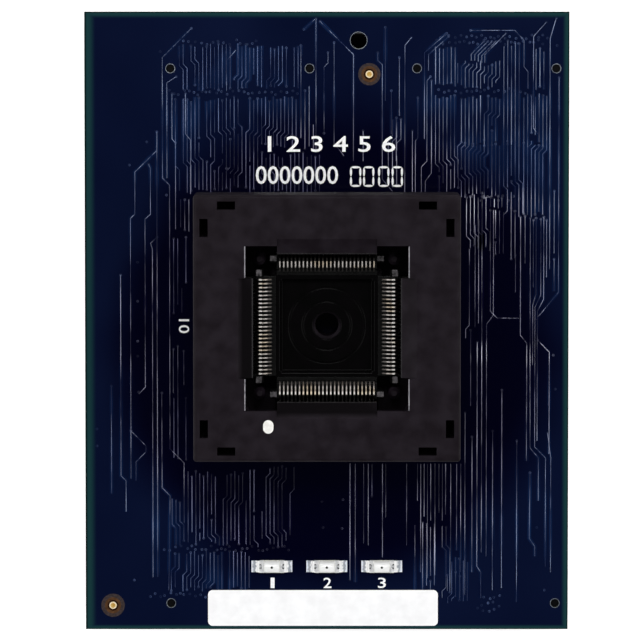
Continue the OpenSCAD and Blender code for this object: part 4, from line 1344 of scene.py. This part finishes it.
# %% Worn edges of the opening
# Worn plastic is as dark as the cover but smoother, so it mirrors more of the lamps.
worn_edge = make_finish(
    "worn_plastic_edge", "#110f11", "#191619", 0.8, 0.1, 0.003, 0.4, Specular_IOR_Level=0.2
)
OPENING_HALF = 9.4
SLOPE_WIDTH = 2.0
SLOPE_DROP = 1.1
STRIP_WIDTH = 0.18
STRIP_THICKNESS = 0.04
STRIP_END_GAP = 0.05
STRIP_ROUNDING = 0.012
# Shares of the width on the right, upper, left and lower side.
SIDE_SHARES = (0.65, 0.9, 1.0, 0.4)
slope_angle = math.atan2(SLOPE_DROP, SLOPE_WIDTH)
strip = slim_bar(STRIP_WIDTH, 2 * (POCKET_INNER - STRIP_END_GAP), STRIP_THICKNESS, STRIP_ROUNDING, 1)
on_slope = Matrix.Translation((
    (OPENING_HALF + STRIP_WIDTH / 2 * math.cos(slope_angle)) * MM, 0,
    cover_top - (SLOPE_DROP - STRIP_WIDTH / 2 * math.sin(slope_angle)) * MM,
)) @ Matrix.Rotation(-slope_angle, 4, "Y")
worn_strips = bmesh.new()
for quarter, share in enumerate(SIDE_SHARES):
    turned = Matrix.Rotation(quarter * math.pi / 2, 4, "Z") @ on_slope
    stamp(worn_strips, strip, turned @ Matrix.Diagonal((share, 1, 1, 1)))
bpy.data.meshes.remove(strip)
finish_piece(to_mesh(worn_strips), "worn_opening_edges", worn_edge, "cover")

# %% [markdown]
# The cover springs are wound wire. In CAD they are six-sided to keep the file small, so here they
# are wound again with a round section. A curve could carry the wire too, but Spin with a lift at each
# step is a screw, and one operator does it. Closed turns at both ends let the springs stand flat.

# %% Wound springs
WIRE = 0.4
WIRE_SIDES = 10
SPRING_LOW = 8.0
SPRING_HIGH = 17.9
SPRING_RADIUS = 1.3
SPRING_PLACES = ((-12, -12), (-12, 12), (12, -12), (12, 12))
OPEN_TURNS = 6
STEPS_PER_TURN = 20
# A closed turn rises by a little less than the wire, so it lies against the next one.
CLOSED_RISE = 0.9
end_rise = CLOSED_RISE * WIRE
open_rise = SPRING_HIGH - SPRING_LOW - WIRE - 2 * end_rise
springs = bmesh.new()
for x, y in SPRING_PLACES:
    start = Matrix.Translation(((x + SPRING_RADIUS) * MM, y * MM, (SPRING_LOW + WIRE / 2) * MM))
    ring = bmesh.ops.create_circle(
        springs, cap_ends=False, segments=WIRE_SIDES, radius=WIRE / 2 * MM,
        matrix=start @ Matrix.Rotation(math.pi / 2, 4, "X"),
    )
    ring_edges = dict.fromkeys(edge for vertex in ring["verts"] for edge in vertex.link_edges)
    end = ring["verts"] + list(ring_edges)
    for turns, rise in ((1, end_rise), (OPEN_TURNS, open_rise), (1, end_rise)):
        steps = turns * STEPS_PER_TURN
        wound = bmesh.ops.spin(
            springs, geom=end, axis=(0, 0, 1), cent=(x * MM, y * MM, 0), dvec=(0, 0, rise / steps * MM),
            angle=math.tau * turns, steps=steps, use_merge=False,
        )
        end = wound["geom_last"]
bmesh.ops.remove_doubles(springs, verts=springs.verts, dist=0.001 * MM)
open_ends = [edge for edge in springs.edges if edge.is_boundary]
bmesh.ops.holes_fill(springs, edges=open_ends, sides=0)
spring_mesh = to_mesh(springs)
spring_mesh.shade_smooth()
wound_springs = finish_piece(spring_mesh, "wound_cover_springs", spring_steel, "card")
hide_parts("cover_springs")
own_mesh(wound_springs)

# %% [markdown]
# The camera stands almost straight above the card, a little towards its upper edge, because higher
# things appear shifted down in the photograph. A long lens from 0.7 m keeps the edges parallel. An
# orthographic camera would too, but it would take away the last of the perspective.

# %% Camera
TILT = math.radians(4.0)
DISTANCE = 0.7
SENSOR_WIDTH = 36
# The picture's width in pixels, its scale at the board's top, and the pixel in its middle.
PICTURE_WIDTH = 640
PICTURE_PIXELS_PER_MM = 7.737
PICTURE_MIDDLE = (320, 318.8)
camera_data = bpy.data.cameras.new("picture camera")
camera_data.sensor_width = SENSOR_WIDTH
camera_data.lens = SENSOR_WIDTH * DISTANCE / (PICTURE_WIDTH / PICTURE_PIXELS_PER_MM * MM)
camera = put_in_scene("picture camera", camera_data)
aim = Vector((*spot(*PICTURE_MIDDLE), board_high.z))
camera.location = aim + DISTANCE * Vector((0, math.sin(TILT), math.cos(TILT)))
camera.rotation_euler = (-TILT, 0, 0)
bpy.context.scene.camera = camera
print("camera lens", round(camera_data.lens, 1), "mm")

# %% [markdown]
# The set is a plain white floor, as on a copying stand. It adds its own white for the camera and for
# reflections, and still takes the shadow. Right under the card its colour is near black: a painted
# shadow. A second mesh could carry that shadow, but the floor's material can tell where the card
# stands.

# %% Floor
FLOOR_HALF = 3.0
FLOOR_GLOW = 0.6
SHADOW_FADE = 3
sweep = bmesh.new()
bmesh.ops.create_grid(sweep, x_segments=1, y_segments=1, size=FLOOR_HALF)
floor = put_in_scene("floor", to_mesh(sweep))
# Matt paper, which mirrors nothing.
paper, paper_shader, ground = start_material(
    "white_paper_sweep", Roughness=0.9, Specular_IOR_Level=0.0, Emission_Color="#ffffff"
)
rays = add(paper, "LightPath", {}).outputs
seen = 0.0
for kind in ("Is Camera Ray", "Is Glossy Ray", "Is Transmission Ray"):
    seen = add(paper, "Math", {0: seen, 1: rays[kind]}, operation="MAXIMUM")
ground_axes = add(paper, "SeparateXYZ", {0: ground}).outputs
beyond = []
for axis, half in (("X", board_high.x), ("Y", board_high.y)):
    away = add(paper, "Math", {0: ground_axes[axis]}, operation="ABSOLUTE")
    beyond.append(add(paper, "Math", {0: away, 1: half}, operation="SUBTRACT"))
outside = add(paper, "Math", {0: beyond[0], 1: beyond[1]}, operation="MAXIMUM")
off_painted_shadow = add(paper, "MapRange", {"Value": outside, "From Min": -SHADOW_FADE * MM, "From Max": 0.0})
# Painted shadow: near black under the card, white paper outside.
shade = add(paper, "Mix", {0: off_painted_shadow, MIX_A: "#0b0b0d", MIX_B: "#f4f4f4"}, data_type="RGBA")
glow = add(paper, "Math", {0: off_painted_shadow, 1: FLOOR_GLOW}, operation="MULTIPLY")
lift = add(paper, "Math", {0: seen, 1: glow}, operation="MULTIPLY")
feed(paper, paper_shader, {"Base Color": shade, "Emission Strength": lift})
floor.data.materials.append(paper)
print("laid the floor")

# %% [markdown]
# Soft lamps stand at the left, at the right and beyond the card's upper edge, with a dim surround. Dark
# glossy boards mirror whatever is straight above them, so nothing bright hangs there.

# %% Light
LAMP_AIM = Vector((0, 0, 0.01))
# Place and size in metres, and power in watts.
LAMPS = [
    ("left lamp", (-0.55, 0.0, 0.6), 0.6, 2.3),
    ("right lamp", (0.55, 0.0, 0.6), 0.6, 2.3),
    ("upper lamp", (0.0, 0.4, 0.75), 0.35, 3.0),
]
for name, place, size, power in LAMPS:
    lamp_data = bpy.data.lights.new(name, "AREA")
    lamp_data.size = size
    lamp_data.energy = power
    lamp = put_in_scene(name, lamp_data)
    lamp.location = place
    lamp.rotation_euler = (LAMP_AIM - Vector(place)).to_track_quat("-Z", "Y").to_euler()
world = bpy.data.worlds.new("studio")
bpy.context.scene.world = world
world.use_nodes = True
sky = add(world, "TexCoord", {}).outputs["Generated"]
height = add(world, "SeparateXYZ", {0: sky}).outputs["Z"]
dimming = add(
    world, "MapRange", {"Value": height, "From Min": 0.1, "From Max": 0.9, "To Min": 0.7, "To Max": 0.1}
)
feed(world, world.node_tree.nodes["Background"], {"Color": "#ffffff", "Strength": dimming})
bpy.context.scene.view_settings.view_transform = "Standard"
print("set", len(LAMPS), "lamps")
